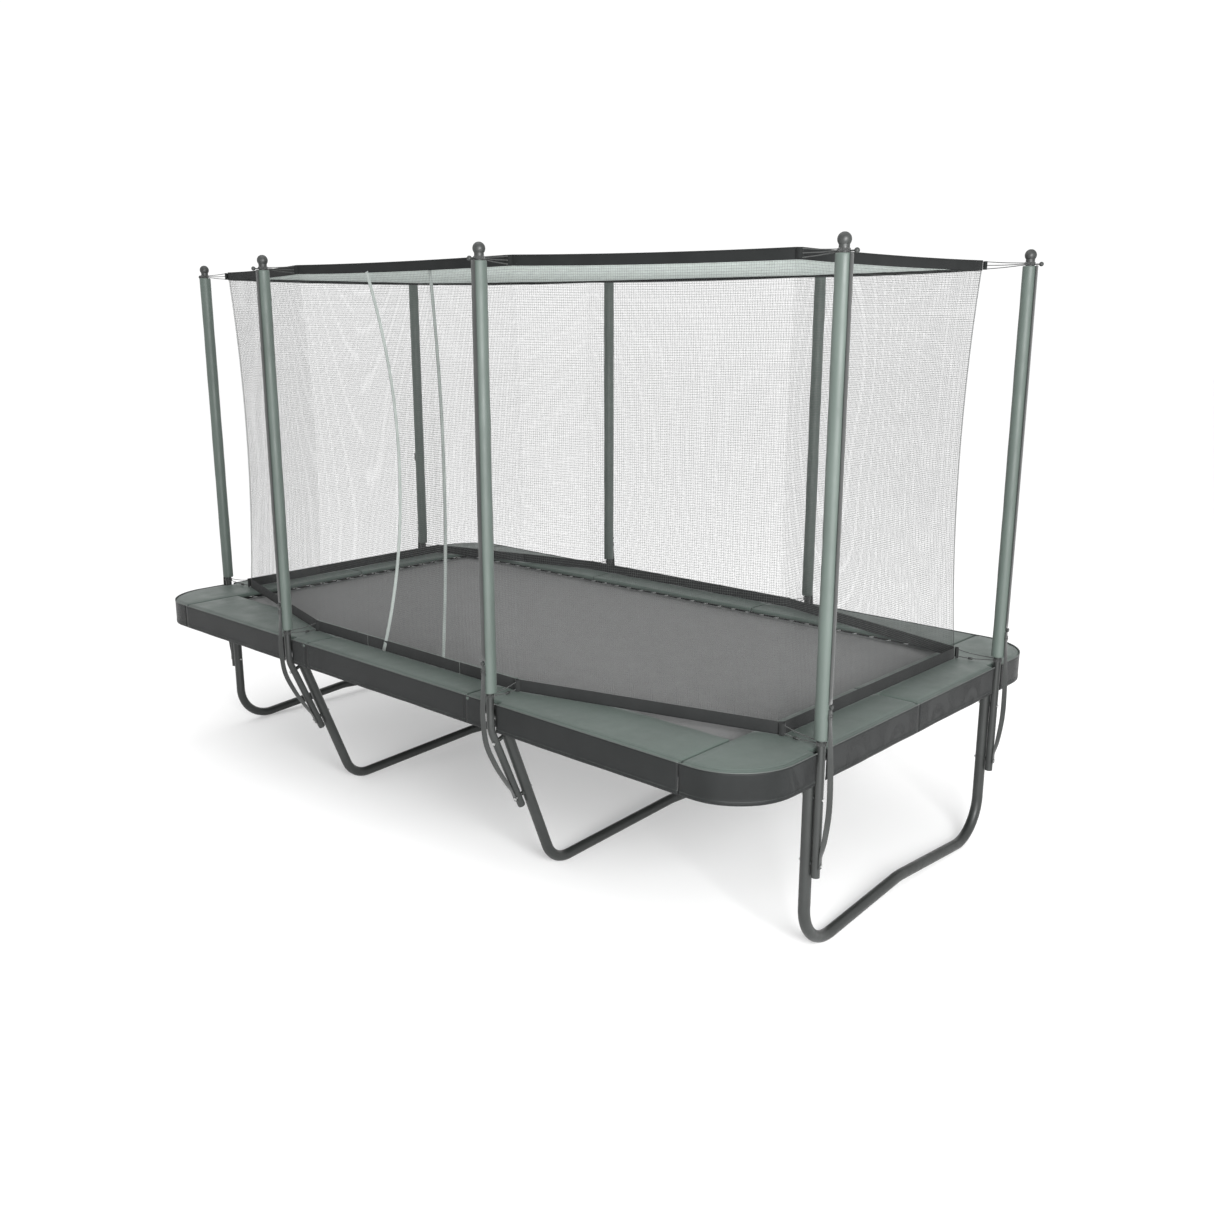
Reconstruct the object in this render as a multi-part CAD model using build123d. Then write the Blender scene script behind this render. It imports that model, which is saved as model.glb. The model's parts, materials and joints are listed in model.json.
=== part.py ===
from build123d import *
import os
from math import atan2, cos, degrees, hypot, radians, sin, tan

# Rectangular garden trampoline with a safety net, in millimetres.
# Origin: on the ground under the middle of the mat. +X: along the long side,
# +Y: from the door side to the back, +Z: up.

# ---- driving dimensions ------------------------------------------------
# net poles: four stand off the short sides, four off the long sides
END_POLE_X = 2600.0
END_POLE_Y = 929.0
SIDE_POLE_X = 942.0
SIDE_POLE_Y = 1491.0
POLE_R = 21.0
POLE_WALL = 2.0
POLE_FOOT_Z = 440.0
POLE_JOINT_Z = 2050.0
POLE_TOP_Z = 3312.0
POLE_BEND_R = 200.0
POLE_LEAN_SLOPE = 0.43
POLE_BEND_Z = 928.0

# foam sleeves on the poles
SLEEVE_R = 37.0
SLEEVE_BOTTOM_Z = 1135.0
SLEEVE_TOP_Z = 3294.0
SLEEVE_GAP = 0.3

# pole caps
CAP_NECK_R = 23.5
CAP_BALL_R = 31.0
CAP_BALL_Z = 3349.0
CAP_RECESS_R = 7.0
KNOB_R = 12.0
KNOB_OUT = 62.0
KNOB_Z = 3302.0
KNOB_PIN_R = 3.5

# frame tube under the pads
FRAME_R = 30.0
FRAME_WALL = 2.5
FRAME_X = 2545.0
FRAME_Y = 1437.0
FRAME_Z = 1015.0
FRAME_BEND_R = 280.0
CORNER_STUB = 100.0
SIDE_JOINT_X = 620.0
BUTT_GAP = 0.2

# legs
LEG_R = 30.0
LEG_WALL = 2.0
END_LEG_Y = 929.0
SIDE_LEG_X = 952.0
SIDE_FOOT_Y = 1055.0
END_FOOT_BEND_R = 230.0
SIDE_FOOT_BEND_R = 170.0
PEAK_BEND_R = 500.0
END_RAIL_RISE = 4.5
SIDE_RAIL_RISE = 2.8
END_SEAM_Y = 450.0
SIDE_SEAM_Z = 290.0
LEG_TOP_GAP = 33.0

# sockets welded under the frame
SOCKET_R = 33.0
SOCKET_BORE_R = 30.3
SOCKET_DROP = 92.0

# bolts that hold each pole to its leg
BOLT_R = 4.0
BOLT_HOLE_R = 4.4
BOLT_HEAD_R = 8.0
BOLT_HEAD_H = 5.0
NUT_R = 7.0
NUT_H = 7.0
END_BOLT_HEIGHTS = (505.0, 840.0)
SIDE_BOLT_HEIGHTS = (525.0, 885.0)
SPACER_R = 11.0

# jumping mat, V-rings and springs
MAT_HALF_X = 2248.0
MAT_HALF_Y = 1140.0
MAT_Z = 1030.0
MAT_T = 4.0
VRING_LENGTH = 35.0
VRING_HALF_WIDTH = 18.0
VRING_WIRE = 4.0
RING_GAP = 0.5
SPRING_R = 9.0
SPRING_BORE_R = 6.0
SPRINGS_LONG_SIDE = 36
SPRINGS_SHORT_SIDE = 18

# safety pads: a foam slab with a skirt sewn to its outer edge
PAD_OUT_X = 2608.0
PAD_OUT_Y = 1494.0
PAD_IN_X = 2205.0
PAD_IN_Y = 1090.0
PAD_CORNER_R = 340.0
PAD_BOTTOM_Z = 1053.5
PAD_TOP_Z = 1083.5
PAD_EDGE_R = 10.0
PAD_SEAM_X = 745.0
PAD_GAP = 2.0
SKIRT_T = 4.0
SKIRT_BOTTOM_Z = 922.0
NOTCH_HALF_WIDTH = 42.0
NOTCH_DEPTH = 39.0

# safety net: an eight-sided wall between a top hem and a bottom hem
NET_END_X = 2360.0
NET_END_Y = 895.0
NET_SIDE_X = 925.0
NET_SIDE_Y = 1278.0
NET_T = 2.0
HEM_BOTTOM_Z = 1086.0
HEM_BOTTOM_H = 67.0
HEM_TOP_Z = 3277.0
HEM_TOP_H = 50.0

# door: two net flaps that overlap in the front wall
DOOR_LEFT_X = -400.0
DOOR_RIGHT_X = 450.0
OUTER_EDGE_X = -250.0
OUTER_EDGE_BOW_X = -85.0
INNER_EDGE_X = 318.0
FLAP_GAP = 4.0
FLAP_OFFSET = 2.0
TRIM_W = 25.0
TRIM_T = 2.0

# straps on the outside of each pole
STRAP_W = 30.0
STRAP_T = 3.0
STRAP_OUT = 38.0
STRAP_GAP = 1.5
HOOK_Z = 1300.0
HOOK_R = 11.0

# tie cords
CORD_R = 2.0
TOP_CORD_HEIGHTS = ((3321.0, 3310.0), (3302.0, 3305.0), (3283.0, 3300.0))
BOTTOM_CORD_HEIGHTS = ((1140.0, 1122.0), (1099.0, 1110.0))
CORD_CLEARANCE = 1.0

os.makedirs("parts", exist_ok=True)


def save(name, shape):
    """Write one sub-part, a solid or a group of separate solids."""
    export_step(shape, f"parts/{name}.step")


def group(solids):
    """Separate solids that share one node."""
    return Compound(children=list(solids))


# ---- tubes and rods ----------------------------------------------------
def across(start, end):
    """A plane at start that faces end."""
    return Plane(origin=start, z_dir=Vector(*end) - Vector(*start))


def rod(start, end, radius):
    """A solid round bar between two points."""
    length = (Vector(*end) - Vector(*start)).length
    return extrude(across(start, end) * Circle(radius), amount=length)


def tube(start, end, radius, bore):
    """A straight tube between two points."""
    length = (Vector(*end) - Vector(*start)).length
    ring = Circle(radius) - Circle(bore)
    return extrude(across(start, end) * ring, amount=length)


def bent_tube(points, radii, radius, bore):
    """A tube along straight runs joined by tangent arcs."""
    path = FilletPolyline(*points, radius=radii)
    ring = Plane(origin=path @ 0, z_dir=path % 0) * (Circle(radius) - Circle(bore))
    return sweep(ring, path=path)


# ---- where the eight poles stand ---------------------------------------
# name: sign of x, sign of y
END_POSTS = {
    "left_front": (-1, -1),
    "right_front": (1, -1),
    "right_back": (1, 1),
    "left_back": (-1, 1),
}
SIDE_POSTS = {
    "front_left": (-1, -1),
    "front_right": (1, -1),
    "back_right": (1, 1),
    "back_left": (-1, 1),
}


def end_place(sx, sy):
    """Turn a pole's own frame, x outward, to a post of a short side."""
    return Pos(sx * END_POLE_X, sy * END_POLE_Y, 0) * Rot(0, 0, 0 if sx > 0 else 180)


def side_place(sx, sy):
    """Turn a pole's own frame, x outward, to a post of a long side."""
    return Pos(sx * SIDE_POLE_X, sy * SIDE_POLE_Y, 0) * Rot(0, 0, 90 * sy)


POSTS = {name: end_place(*signs) for name, signs in END_POSTS.items()}
POSTS.update({name: side_place(*signs) for name, signs in SIDE_POSTS.items()})


# ---- leg geometry ------------------------------------------------------
def foot_vertex(lean, rise, bend_r):
    """Height of a foot's bend point, so that the bend's underside meets the ground.

    The upright leans outward by lean degrees and the rail climbs by rise degrees.
    """
    up = Vector(sin(radians(lean)), cos(radians(lean)), 0)
    rail = Vector(-cos(radians(rise)), sin(radians(rise)), 0)
    half = radians(up.get_angle(rail)) / 2
    middle = (up + rail).normalized()
    return LEG_R + bend_r - bend_r / sin(half) * middle.Y


END_FOOT_Z = foot_vertex(0, END_RAIL_RISE, END_FOOT_BEND_R)
SIDE_LEAN = degrees(atan2(FRAME_Y - SIDE_FOOT_Y, FRAME_Z))
SIDE_FOOT_Z = foot_vertex(SIDE_LEAN, SIDE_RAIL_RISE, SIDE_FOOT_BEND_R)
SIDE_SLOPE = (FRAME_Y - SIDE_FOOT_Y) / (FRAME_Z - SIDE_FOOT_Z)
SIDE_LEAN = degrees(atan2(SIDE_SLOPE, 1))
END_PEAK_Z = END_FOOT_Z + END_LEG_Y * tan(radians(END_RAIL_RISE))
SIDE_PEAK_Z = SIDE_FOOT_Z + SIDE_FOOT_Y * tan(radians(SIDE_RAIL_RISE))


def side_leg_y(z):
    """Distance of a long side's leg upright from the middle, at height z."""
    return SIDE_FOOT_Y + SIDE_SLOPE * (z - SIDE_FOOT_Z)


def side_pole_out(z):
    """Where a side pole's axis is at height z, outward from its upper part."""
    return min(0.0, POLE_LEAN_SLOPE * (z - POLE_BEND_Z))


# ---- frame -------------------------------------------------------------
def frame_corner(sx, sy):
    """A bent corner tube with a short straight stub at each end."""
    stub_x = FRAME_X - FRAME_BEND_R - CORNER_STUB
    stub_y = FRAME_Y - FRAME_BEND_R - CORNER_STUB
    points = [
        (sx * FRAME_X, sy * stub_y, FRAME_Z),
        (sx * FRAME_X, sy * FRAME_Y, FRAME_Z),
        (sx * stub_x, sy * FRAME_Y, FRAME_Z),
    ]
    return bent_tube(points, FRAME_BEND_R, FRAME_R, FRAME_R - FRAME_WALL)


def end_rail(sx):
    """The straight tube of a short side."""
    reach = FRAME_Y - FRAME_BEND_R - CORNER_STUB - BUTT_GAP
    start = (sx * FRAME_X, -reach, FRAME_Z)
    end = (sx * FRAME_X, reach, FRAME_Z)
    return tube(start, end, FRAME_R, FRAME_R - FRAME_WALL)


def side_rail(sy):
    """The three straight tubes of a long side."""
    reach = FRAME_X - FRAME_BEND_R - CORNER_STUB
    joints = [-reach, -SIDE_JOINT_X, SIDE_JOINT_X, reach]
    pieces = []
    for left, right in zip(joints, joints[1:]):
        start = (left + BUTT_GAP, sy * FRAME_Y, FRAME_Z)
        end = (right - BUTT_GAP, sy * FRAME_Y, FRAME_Z)
        pieces.append(tube(start, end, FRAME_R, FRAME_R - FRAME_WALL))
    return group(pieces)


def leg_sockets():
    """Eight collars, saddled to the frame tube, that take the tops of the legs."""
    collars = []
    for sx, sy in END_POSTS.values():
        top = (sx * FRAME_X, sy * END_LEG_Y, FRAME_Z)
        foot = (sx * FRAME_X, sy * END_LEG_Y, FRAME_Z - SOCKET_DROP)
        saddle = rod((sx * FRAME_X, sy * END_LEG_Y - 100, FRAME_Z),
                     (sx * FRAME_X, sy * END_LEG_Y + 100, FRAME_Z), FRAME_R + BUTT_GAP)
        collars.append(lower_piece(tube(foot, top, SOCKET_R, SOCKET_BORE_R) - saddle))
    for sx, sy in SIDE_POSTS.values():
        low_z = FRAME_Z - SOCKET_DROP * cos(radians(SIDE_LEAN))
        top = (sx * SIDE_LEG_X, sy * FRAME_Y, FRAME_Z)
        foot = (sx * SIDE_LEG_X, sy * side_leg_y(low_z), low_z)
        saddle = rod((sx * SIDE_LEG_X - 100, sy * FRAME_Y, FRAME_Z),
                     (sx * SIDE_LEG_X + 100, sy * FRAME_Y, FRAME_Z), FRAME_R + BUTT_GAP)
        collars.append(lower_piece(tube(foot, top, SOCKET_R, SOCKET_BORE_R) - saddle))
    return group(collars)


def lower_piece(shape):
    """The lowest solid of a cut shape."""
    return shape.solids().sort_by(Axis.Z)[0]


# ---- legs --------------------------------------------------------------
def end_bolt_lines(sx, sy):
    """For each bolt of a short side's post: where it crosses the leg's axis and the pole's."""
    leg_x, pole_x = sx * FRAME_X, sx * END_POLE_X
    return [((leg_x, sy * END_LEG_Y, z), (pole_x, sy * END_POLE_Y, z)) for z in END_BOLT_HEIGHTS]


def side_bolt_lines(sx, sy):
    """The same for a long side's post, square to its leg."""
    lines = []
    for z in SIDE_BOLT_HEIGHTS:
        leg_y = side_leg_y(z)
        pole_z = z - SIDE_SLOPE * bolt_run(z)
        pole_y = leg_y + bolt_run(z)
        x = sx * SIDE_LEG_X
        lines.append(((x, sy * leg_y, z), (x, sy * pole_y, pole_z)))
    return lines


def bolt_run(z):
    """Distance along y from a side leg's axis, at height z, to its pole's axis."""
    pole_at_z = SIDE_POLE_Y + POLE_LEAN_SLOPE * (z - POLE_BEND_Z)
    return (pole_at_z - side_leg_y(z)) / (1 + POLE_LEAN_SLOPE * SIDE_SLOPE)


def drill(solid, lines):
    """Cut bolt holes through a tube."""
    for leg_point, pole_point in lines:
        along = (Vector(*pole_point) - Vector(*leg_point)).normalized()
        inner = Vector(*leg_point) - along * 2 * LEG_R
        outer = Vector(*pole_point) + along * 3 * POLE_R
        solid = solid - rod(tuple(inner), tuple(outer), BOLT_HOLE_R)
    return solid


def end_leg(sx, sy):
    """Upright of a short side, with the foot bend and the outer part of the rail."""
    seam_z = END_FOOT_Z + (END_LEG_Y - END_SEAM_Y) * tan(radians(END_RAIL_RISE))
    points = [
        (sx * FRAME_X, sy * END_LEG_Y, FRAME_Z - LEG_TOP_GAP),
        (sx * FRAME_X, sy * END_LEG_Y, END_FOOT_Z),
        (sx * FRAME_X, sy * (END_SEAM_Y + BUTT_GAP), seam_z),
    ]
    leg = bent_tube(points, END_FOOT_BEND_R, LEG_R, LEG_R - LEG_WALL)
    return drill(leg, end_bolt_lines(sx, sy))


def end_leg_rail(sx):
    """Middle of a short side's rail, raised at its centre."""
    seam_z = END_FOOT_Z + (END_LEG_Y - END_SEAM_Y) * tan(radians(END_RAIL_RISE))
    points = [
        (sx * FRAME_X, -END_SEAM_Y + BUTT_GAP, seam_z),
        (sx * FRAME_X, 0, END_PEAK_Z),
        (sx * FRAME_X, END_SEAM_Y - BUTT_GAP, seam_z),
    ]
    return bent_tube(points, PEAK_BEND_R, LEG_R, LEG_R - LEG_WALL)


def side_leg_upright(sx, sy):
    """Leaning upright of a long side's leg."""
    top_z = FRAME_Z - LEG_TOP_GAP * cos(radians(SIDE_LEAN))
    low_z = SIDE_SEAM_Z + BUTT_GAP
    start = (sx * SIDE_LEG_X, sy * side_leg_y(low_z), low_z)
    end = (sx * SIDE_LEG_X, sy * side_leg_y(top_z), top_z)
    return drill(tube(start, end, LEG_R, LEG_R - LEG_WALL), side_bolt_lines(sx, sy))


def side_leg_base(sx):
    """U-shaped base that joins the two uprights of a side leg."""
    x = sx * SIDE_LEG_X
    points = [
        (x, -side_leg_y(SIDE_SEAM_Z), SIDE_SEAM_Z),
        (x, -SIDE_FOOT_Y, SIDE_FOOT_Z),
        (x, 0, SIDE_PEAK_Z),
        (x, SIDE_FOOT_Y, SIDE_FOOT_Z),
        (x, side_leg_y(SIDE_SEAM_Z), SIDE_SEAM_Z),
    ]
    radii = [SIDE_FOOT_BEND_R, PEAK_BEND_R, SIDE_FOOT_BEND_R]
    return bent_tube(points, radii, LEG_R, LEG_R - LEG_WALL)


def bolt(leg_point, pole_point, grip):
    """Bolt with its head outside the pole, grip beyond its axis, and its nut inside the leg."""
    along = (Vector(*pole_point) - Vector(*leg_point)).normalized()
    nut_start = Vector(*leg_point) - along * (LEG_R + NUT_H)
    head_start = Vector(*pole_point) + along * grip
    head_end = head_start + along * BOLT_HEAD_H
    shank = rod(tuple(nut_start), tuple(head_end), BOLT_R)
    head = rod(tuple(head_start), tuple(head_end), BOLT_HEAD_R)
    nut = extrude(across(tuple(nut_start), pole_point) * RegularPolygon(NUT_R, 6), amount=NUT_H)
    return (shank + head + nut).solid()


def leg_bolts():
    """Two bolts per post: the lower one also holds the strap's end."""
    bolts = []
    for lines in all_bolt_lines():
        lower, upper = lines
        bolts.append(bolt(*lower, POLE_R + STRAP_T + 2 * STRAP_GAP))
        bolts.append(bolt(*upper, POLE_R))
    return group(bolts)


def all_bolt_lines():
    """The bolt lines of every post."""
    lines = [end_bolt_lines(*signs) for signs in END_POSTS.values()]
    lines += [side_bolt_lines(*signs) for signs in SIDE_POSTS.values()]
    return lines


# ---- poles -------------------------------------------------------------
def with_spacers(pole, lines, leg_cutter):
    """Weld to a pole the spacers that stand between it and its leg."""
    bore = POLE_R - POLE_WALL / 2
    for leg_point, pole_point in lines:
        along = (Vector(*leg_point) - Vector(*pole_point)).normalized()
        start = Vector(*pole_point) + along * bore
        spacer = rod(tuple(start), leg_point, SPACER_R) - leg_cutter
        pole = pole + spacer
    return drill(pole, lines)


def straight_pole(place, sx, sy):
    """Two-part pole of a short side."""
    bore = POLE_R - POLE_WALL
    lower = place * tube((0, 0, POLE_FOOT_Z), (0, 0, POLE_JOINT_Z), POLE_R, bore)
    upper = place * tube((0, 0, POLE_JOINT_Z + BUTT_GAP), (0, 0, POLE_TOP_Z), POLE_R, bore)
    leg_x, leg_y = sx * FRAME_X, sy * END_LEG_Y
    leg = rod((leg_x, leg_y, POLE_FOOT_Z), (leg_x, leg_y, FRAME_Z), LEG_R + BUTT_GAP)
    return group([with_spacers(lower, end_bolt_lines(sx, sy), leg), upper])


def bent_pole(place, sx, sy):
    """Two-part pole of a long side, which bends inward to meet its leg."""
    bore = POLE_R - POLE_WALL
    points = [
        (side_pole_out(POLE_FOOT_Z), 0, POLE_FOOT_Z),
        (0, 0, POLE_BEND_Z),
        (0, 0, POLE_JOINT_Z),
    ]
    lower = place * bent_tube(points, POLE_BEND_R, POLE_R, bore)
    upper = place * tube((0, 0, POLE_JOINT_Z + BUTT_GAP), (0, 0, POLE_TOP_Z), POLE_R, bore)
    leg = rod((sx * SIDE_LEG_X, sy * side_leg_y(POLE_FOOT_Z - 100), POLE_FOOT_Z - 100),
              (sx * SIDE_LEG_X, sy * side_leg_y(FRAME_Z), FRAME_Z), LEG_R + BUTT_GAP)
    return group([with_spacers(lower, side_bolt_lines(sx, sy), leg), upper])


def sleeve():
    """Foam sleeve round a pole."""
    bottom = (0, 0, SLEEVE_BOTTOM_Z)
    top = (0, 0, SLEEVE_TOP_Z)
    return tube(bottom, top, SLEEVE_R, POLE_R + SLEEVE_GAP)


def cap():
    """Plug with a round finial, and a knob on a pin for the strap."""
    neck_bottom = SLEEVE_TOP_Z + 1
    neck = tube((0, 0, neck_bottom), (0, 0, CAP_BALL_Z - CAP_BALL_R / 2), CAP_NECK_R, POLE_R + SLEEVE_GAP)
    ball = Pos(0, 0, CAP_BALL_Z) * Sphere(CAP_BALL_R)
    pole_end = rod((0, 0, neck_bottom), (0, 0, POLE_TOP_Z + 1), POLE_R + SLEEVE_GAP)
    recess = rod((0, 0, CAP_BALL_Z + CAP_BALL_R - 8), (0, 0, CAP_BALL_Z + CAP_BALL_R + 5), CAP_RECESS_R)
    pin = rod((CAP_NECK_R - 1, 0, KNOB_Z), (KNOB_OUT, 0, KNOB_Z), KNOB_PIN_R)
    knob = Pos(KNOB_OUT, 0, KNOB_Z) * Sphere(KNOB_R)
    return (neck + ball + pin + knob - pole_end - recess).solid()


# ---- straps ------------------------------------------------------------
def upper_strap():
    """Flat strap down the outside of a sleeve, from the knob to the hook."""
    height = KNOB_Z - KNOB_PIN_R - 2 - HOOK_Z - HOOK_R
    middle_z = HOOK_Z + HOOK_R + height / 2
    return Pos(STRAP_OUT + STRAP_T / 2, 0, middle_z) * Box(STRAP_T, STRAP_W, height)


def strap_hook():
    """Round hook that joins the two straps, clear of the sleeve."""
    start = (STRAP_OUT, 0, HOOK_Z)
    end = (STRAP_OUT + 12, 0, HOOK_Z)
    return rod(start, end, HOOK_R)


def lower_strap(points):
    """Slack strap, as a thin band along points of (outward, height)."""
    inner = Spline(*[(out, 0, z) for out, z in points])
    outer = Spline(*[(out + STRAP_T, 0, z) for out, z in reversed(points)])
    ends = [Line(inner @ 1, outer @ 0), Line(outer @ 1, inner @ 0)]
    face = make_face([inner, outer] + ends)
    return extrude(face, amount=STRAP_W / 2, both=True)


FLAT_GAP = POLE_R + STRAP_GAP
LEAN_GAP = FLAT_GAP * hypot(1, POLE_LEAN_SLOPE)
END_STRAP_SLACK = [(38, 1288), (46, 1120), (55, 940), (55, 780), (38, 630)]
SIDE_STRAP_SLACK = [(38, 1288), (46, 1130), (50, 1010), (62, 860), (60, 720), (36, 590)]


def end_strap():
    """Slack strap of a short side's pole, its end flat on the pole at the lower bolt."""
    z = END_BOLT_HEIGHTS[0]
    flat = [(FLAT_GAP, z + 45), (FLAT_GAP, z), (FLAT_GAP, z - 20)]
    return lower_strap(END_STRAP_SLACK + flat)


def side_strap():
    """The same for a long side's bent pole."""
    z = side_bolt_lines(1, 1)[0][1][2]
    slack = [(out + side_pole_out(height), height) for out, height in SIDE_STRAP_SLACK]
    flat = [(LEAN_GAP + side_pole_out(height), height) for height in (z + 35, z - 10, z - 30)]
    return lower_strap(slack + flat)


# ---- mat and springs ---------------------------------------------------
def spread(count, half_length):
    """Evenly spaced places along one side of the mat."""
    pitch = 2 * half_length / count
    return [-half_length + pitch * (i + 0.5) for i in range(count)]


def edge_places():
    """A place for every spring, with x pointing outward from the mat's edge."""
    places = []
    for x in spread(SPRINGS_LONG_SIDE, MAT_HALF_X - 40):
        places.append(Pos(x, -MAT_HALF_Y, MAT_Z) * Rot(0, 0, -90))
        places.append(Pos(x, MAT_HALF_Y, MAT_Z) * Rot(0, 0, 90))
    for y in spread(SPRINGS_SHORT_SIDE, MAT_HALF_Y - 40):
        places.append(Pos(MAT_HALF_X, y, MAT_Z))
        places.append(Pos(-MAT_HALF_X, y, MAT_Z) * Rot(0, 0, 180))
    return places


def v_ring():
    """Triangular wire ring that hangs off the mat's edge."""
    outer = Polygon((0, -VRING_HALF_WIDTH), (VRING_LENGTH, 0), (0, VRING_HALF_WIDTH), align=None)
    inner = offset(outer, -VRING_WIRE)
    ring = extrude(outer - inner, amount=VRING_WIRE / 2, both=True)
    return Pos(RING_GAP, 0, 0) * ring


def spring():
    """Extension spring from a ring to the frame, as its coil's outer shape."""
    reach = FRAME_Y - FRAME_R - MAT_HALF_Y - 1
    start = (RING_GAP + VRING_LENGTH + 1.5, 0, 0)
    return tube(start, (reach, 0, 0), SPRING_R, SPRING_BORE_R)


def jumping_mat():
    """Woven mat with slightly cut corners."""
    sheet = chamfer(Rectangle(2 * MAT_HALF_X, 2 * MAT_HALF_Y).vertices(), 40)
    return Pos(0, 0, MAT_Z) * extrude(sheet, amount=MAT_T / 2, both=True)


# ---- pads --------------------------------------------------------------
def pad_ring():
    """All the pads and their skirts before they are divided."""
    outer = RectangleRounded(2 * PAD_OUT_X, 2 * PAD_OUT_Y, PAD_CORNER_R)
    lining = RectangleRounded(2 * (PAD_OUT_X - SKIRT_T), 2 * (PAD_OUT_Y - SKIRT_T), PAD_CORNER_R - SKIRT_T)
    hole = Rectangle(2 * PAD_IN_X, 2 * PAD_IN_Y)
    slab = Pos(0, 0, PAD_BOTTOM_Z) * extrude(outer - hole, amount=PAD_TOP_Z - PAD_BOTTOM_Z)
    rim = slab.edges().group_by(Axis.Z)[-1]
    slab = fillet([e for e in rim if is_outer(e.center())], PAD_EDGE_R)
    skirt = Pos(0, 0, SKIRT_BOTTOM_Z) * extrude(outer - lining, amount=PAD_BOTTOM_Z - SKIRT_BOTTOM_Z)
    return slab + skirt


def is_outer(point):
    """Whether a point lies beyond the pads' inner edge."""
    return abs(point.X) > PAD_IN_X + 1 or abs(point.Y) > PAD_IN_Y + 1


def notch(place):
    """The slot in a pad and its skirt that a pole passes through."""
    height = PAD_TOP_Z - SKIRT_BOTTOM_Z + 20
    middle_z = (PAD_TOP_Z + SKIRT_BOTTOM_Z) / 2
    cutter = Box(2 * NOTCH_DEPTH, 2 * NOTCH_HALF_WIDTH, height)
    return place * Pos(0, 0, middle_z) * cutter


def pad_piece(ring, x_range, y_range):
    """The part of the ring between two seams on each axis, less half a seam gap."""
    x0, x1 = x_range
    y0, y1 = y_range
    width = x1 - x0 - PAD_GAP
    depth = y1 - y0 - PAD_GAP
    block = Pos((x0 + x1) / 2, (y0 + y1) / 2, FRAME_Z) * Box(width, depth, 400)
    return (ring & block).solids()


# ---- net ---------------------------------------------------------------
NET_CORNERS = [
    (-NET_END_X, -NET_END_Y),
    (-NET_SIDE_X, -NET_SIDE_Y),
    (NET_SIDE_X, -NET_SIDE_Y),
    (NET_END_X, -NET_END_Y),
    (NET_END_X, NET_END_Y),
    (NET_SIDE_X, NET_SIDE_Y),
    (-NET_SIDE_X, NET_SIDE_Y),
    (-NET_END_X, NET_END_Y),
]


def inset_corner(index, depth):
    """A corner of the net wall moved inward, so that every face moves by depth."""
    before = Vector(*NET_CORNERS[index - 1])
    here = Vector(*NET_CORNERS[index])
    after = Vector(*NET_CORNERS[(index + 1) % len(NET_CORNERS)])
    to_before = (before - here).normalized()
    to_after = (after - here).normalized()
    half = radians(to_before.get_angle(to_after)) / 2
    inward = (to_before + to_after).normalized()
    moved = here + inward * (depth / sin(half))
    return moved.X, moved.Y


def net_panel(index, bottom, height, x_limits=None):
    """One mitred flat panel of the eight-sided wall."""
    following = (index + 1) % len(NET_CORNERS)
    outline = [
        NET_CORNERS[index],
        NET_CORNERS[following],
        inset_corner(following, NET_T),
        inset_corner(index, NET_T),
    ]
    if x_limits is not None:
        low, high = x_limits
        outline = [(min(max(x, low), high), y) for x, y in outline]
    return Pos(0, 0, bottom) * extrude(Polygon(*outline, align=None), amount=height)


FRONT = 1
DOOR_GAPS = [(-NET_SIDE_X, DOOR_LEFT_X - FLAP_GAP), (DOOR_RIGHT_X + FLAP_GAP, NET_SIDE_X)]


def wall_panels(bottom, height, with_door):
    """The eight sides of the wall, the front one parted for the door if asked."""
    panels = []
    for index in range(len(NET_CORNERS)):
        if index == FRONT and with_door:
            panels += [net_panel(index, bottom, height, limits) for limits in DOOR_GAPS]
        else:
            panels.append(net_panel(index, bottom, height))
    return panels


NET_BOTTOM_Z = HEM_BOTTOM_Z + HEM_BOTTOM_H
FLAP_TOP_Z = HEM_TOP_Z - 1.5


def front_plate(outline, outer_y, thickness):
    """A flat piece in the front wall, drawn in x and z and laid inward from outer_y."""
    face = Plane.XZ * outline
    plate = extrude(face, amount=-thickness)
    return Pos(0, outer_y, 0) * plate


def flap_outline(hinge_x, edge_x, bow_x, bottom, top, width=None):
    """A flap's outline, or its free edge's trim of the given width."""
    middle_z = (HEM_BOTTOM_Z + FLAP_TOP_Z) / 2
    edge = ThreePointArc((edge_x, HEM_BOTTOM_Z), (bow_x, middle_z), (edge_x, FLAP_TOP_Z))
    if width is None:
        corners = [(edge_x, FLAP_TOP_Z), (hinge_x, FLAP_TOP_Z), (hinge_x, HEM_BOTTOM_Z), (edge_x, HEM_BOTTOM_Z)]
        back = Polyline(*corners)
        whole = make_face([edge, back])
    else:
        side = width if hinge_x > edge_x else -width
        inner_x = edge_x + side
        inner = ThreePointArc((inner_x, FLAP_TOP_Z), (bow_x + side, middle_z), (inner_x, HEM_BOTTOM_Z))
        ends = [Line(edge @ 1, inner @ 0), Line(inner @ 1, edge @ 0)]
        whole = make_face([edge, inner] + ends)
    window = Pos(0, (bottom + top) / 2) * Rectangle(2 * FRAME_X, top - bottom)
    return whole & window


def door_flap(hinge_x, edge_x, bow_x, outer_y):
    """A flap's net and, below it, its hem."""
    net = flap_outline(hinge_x, edge_x, bow_x, NET_BOTTOM_Z, FLAP_TOP_Z)
    hem = flap_outline(hinge_x, edge_x, bow_x, HEM_BOTTOM_Z, NET_BOTTOM_Z)
    return group([front_plate(net, outer_y, NET_T), front_plate(hem, outer_y, NET_T)])


def door_trim(hinge_x, edge_x, bow_x, outer_y):
    """The ribbon sewn along a flap's free edge."""
    ribbon = flap_outline(hinge_x, edge_x, bow_x, HEM_BOTTOM_Z, FLAP_TOP_Z, TRIM_W)
    return front_plate(ribbon, outer_y, TRIM_T)


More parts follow.
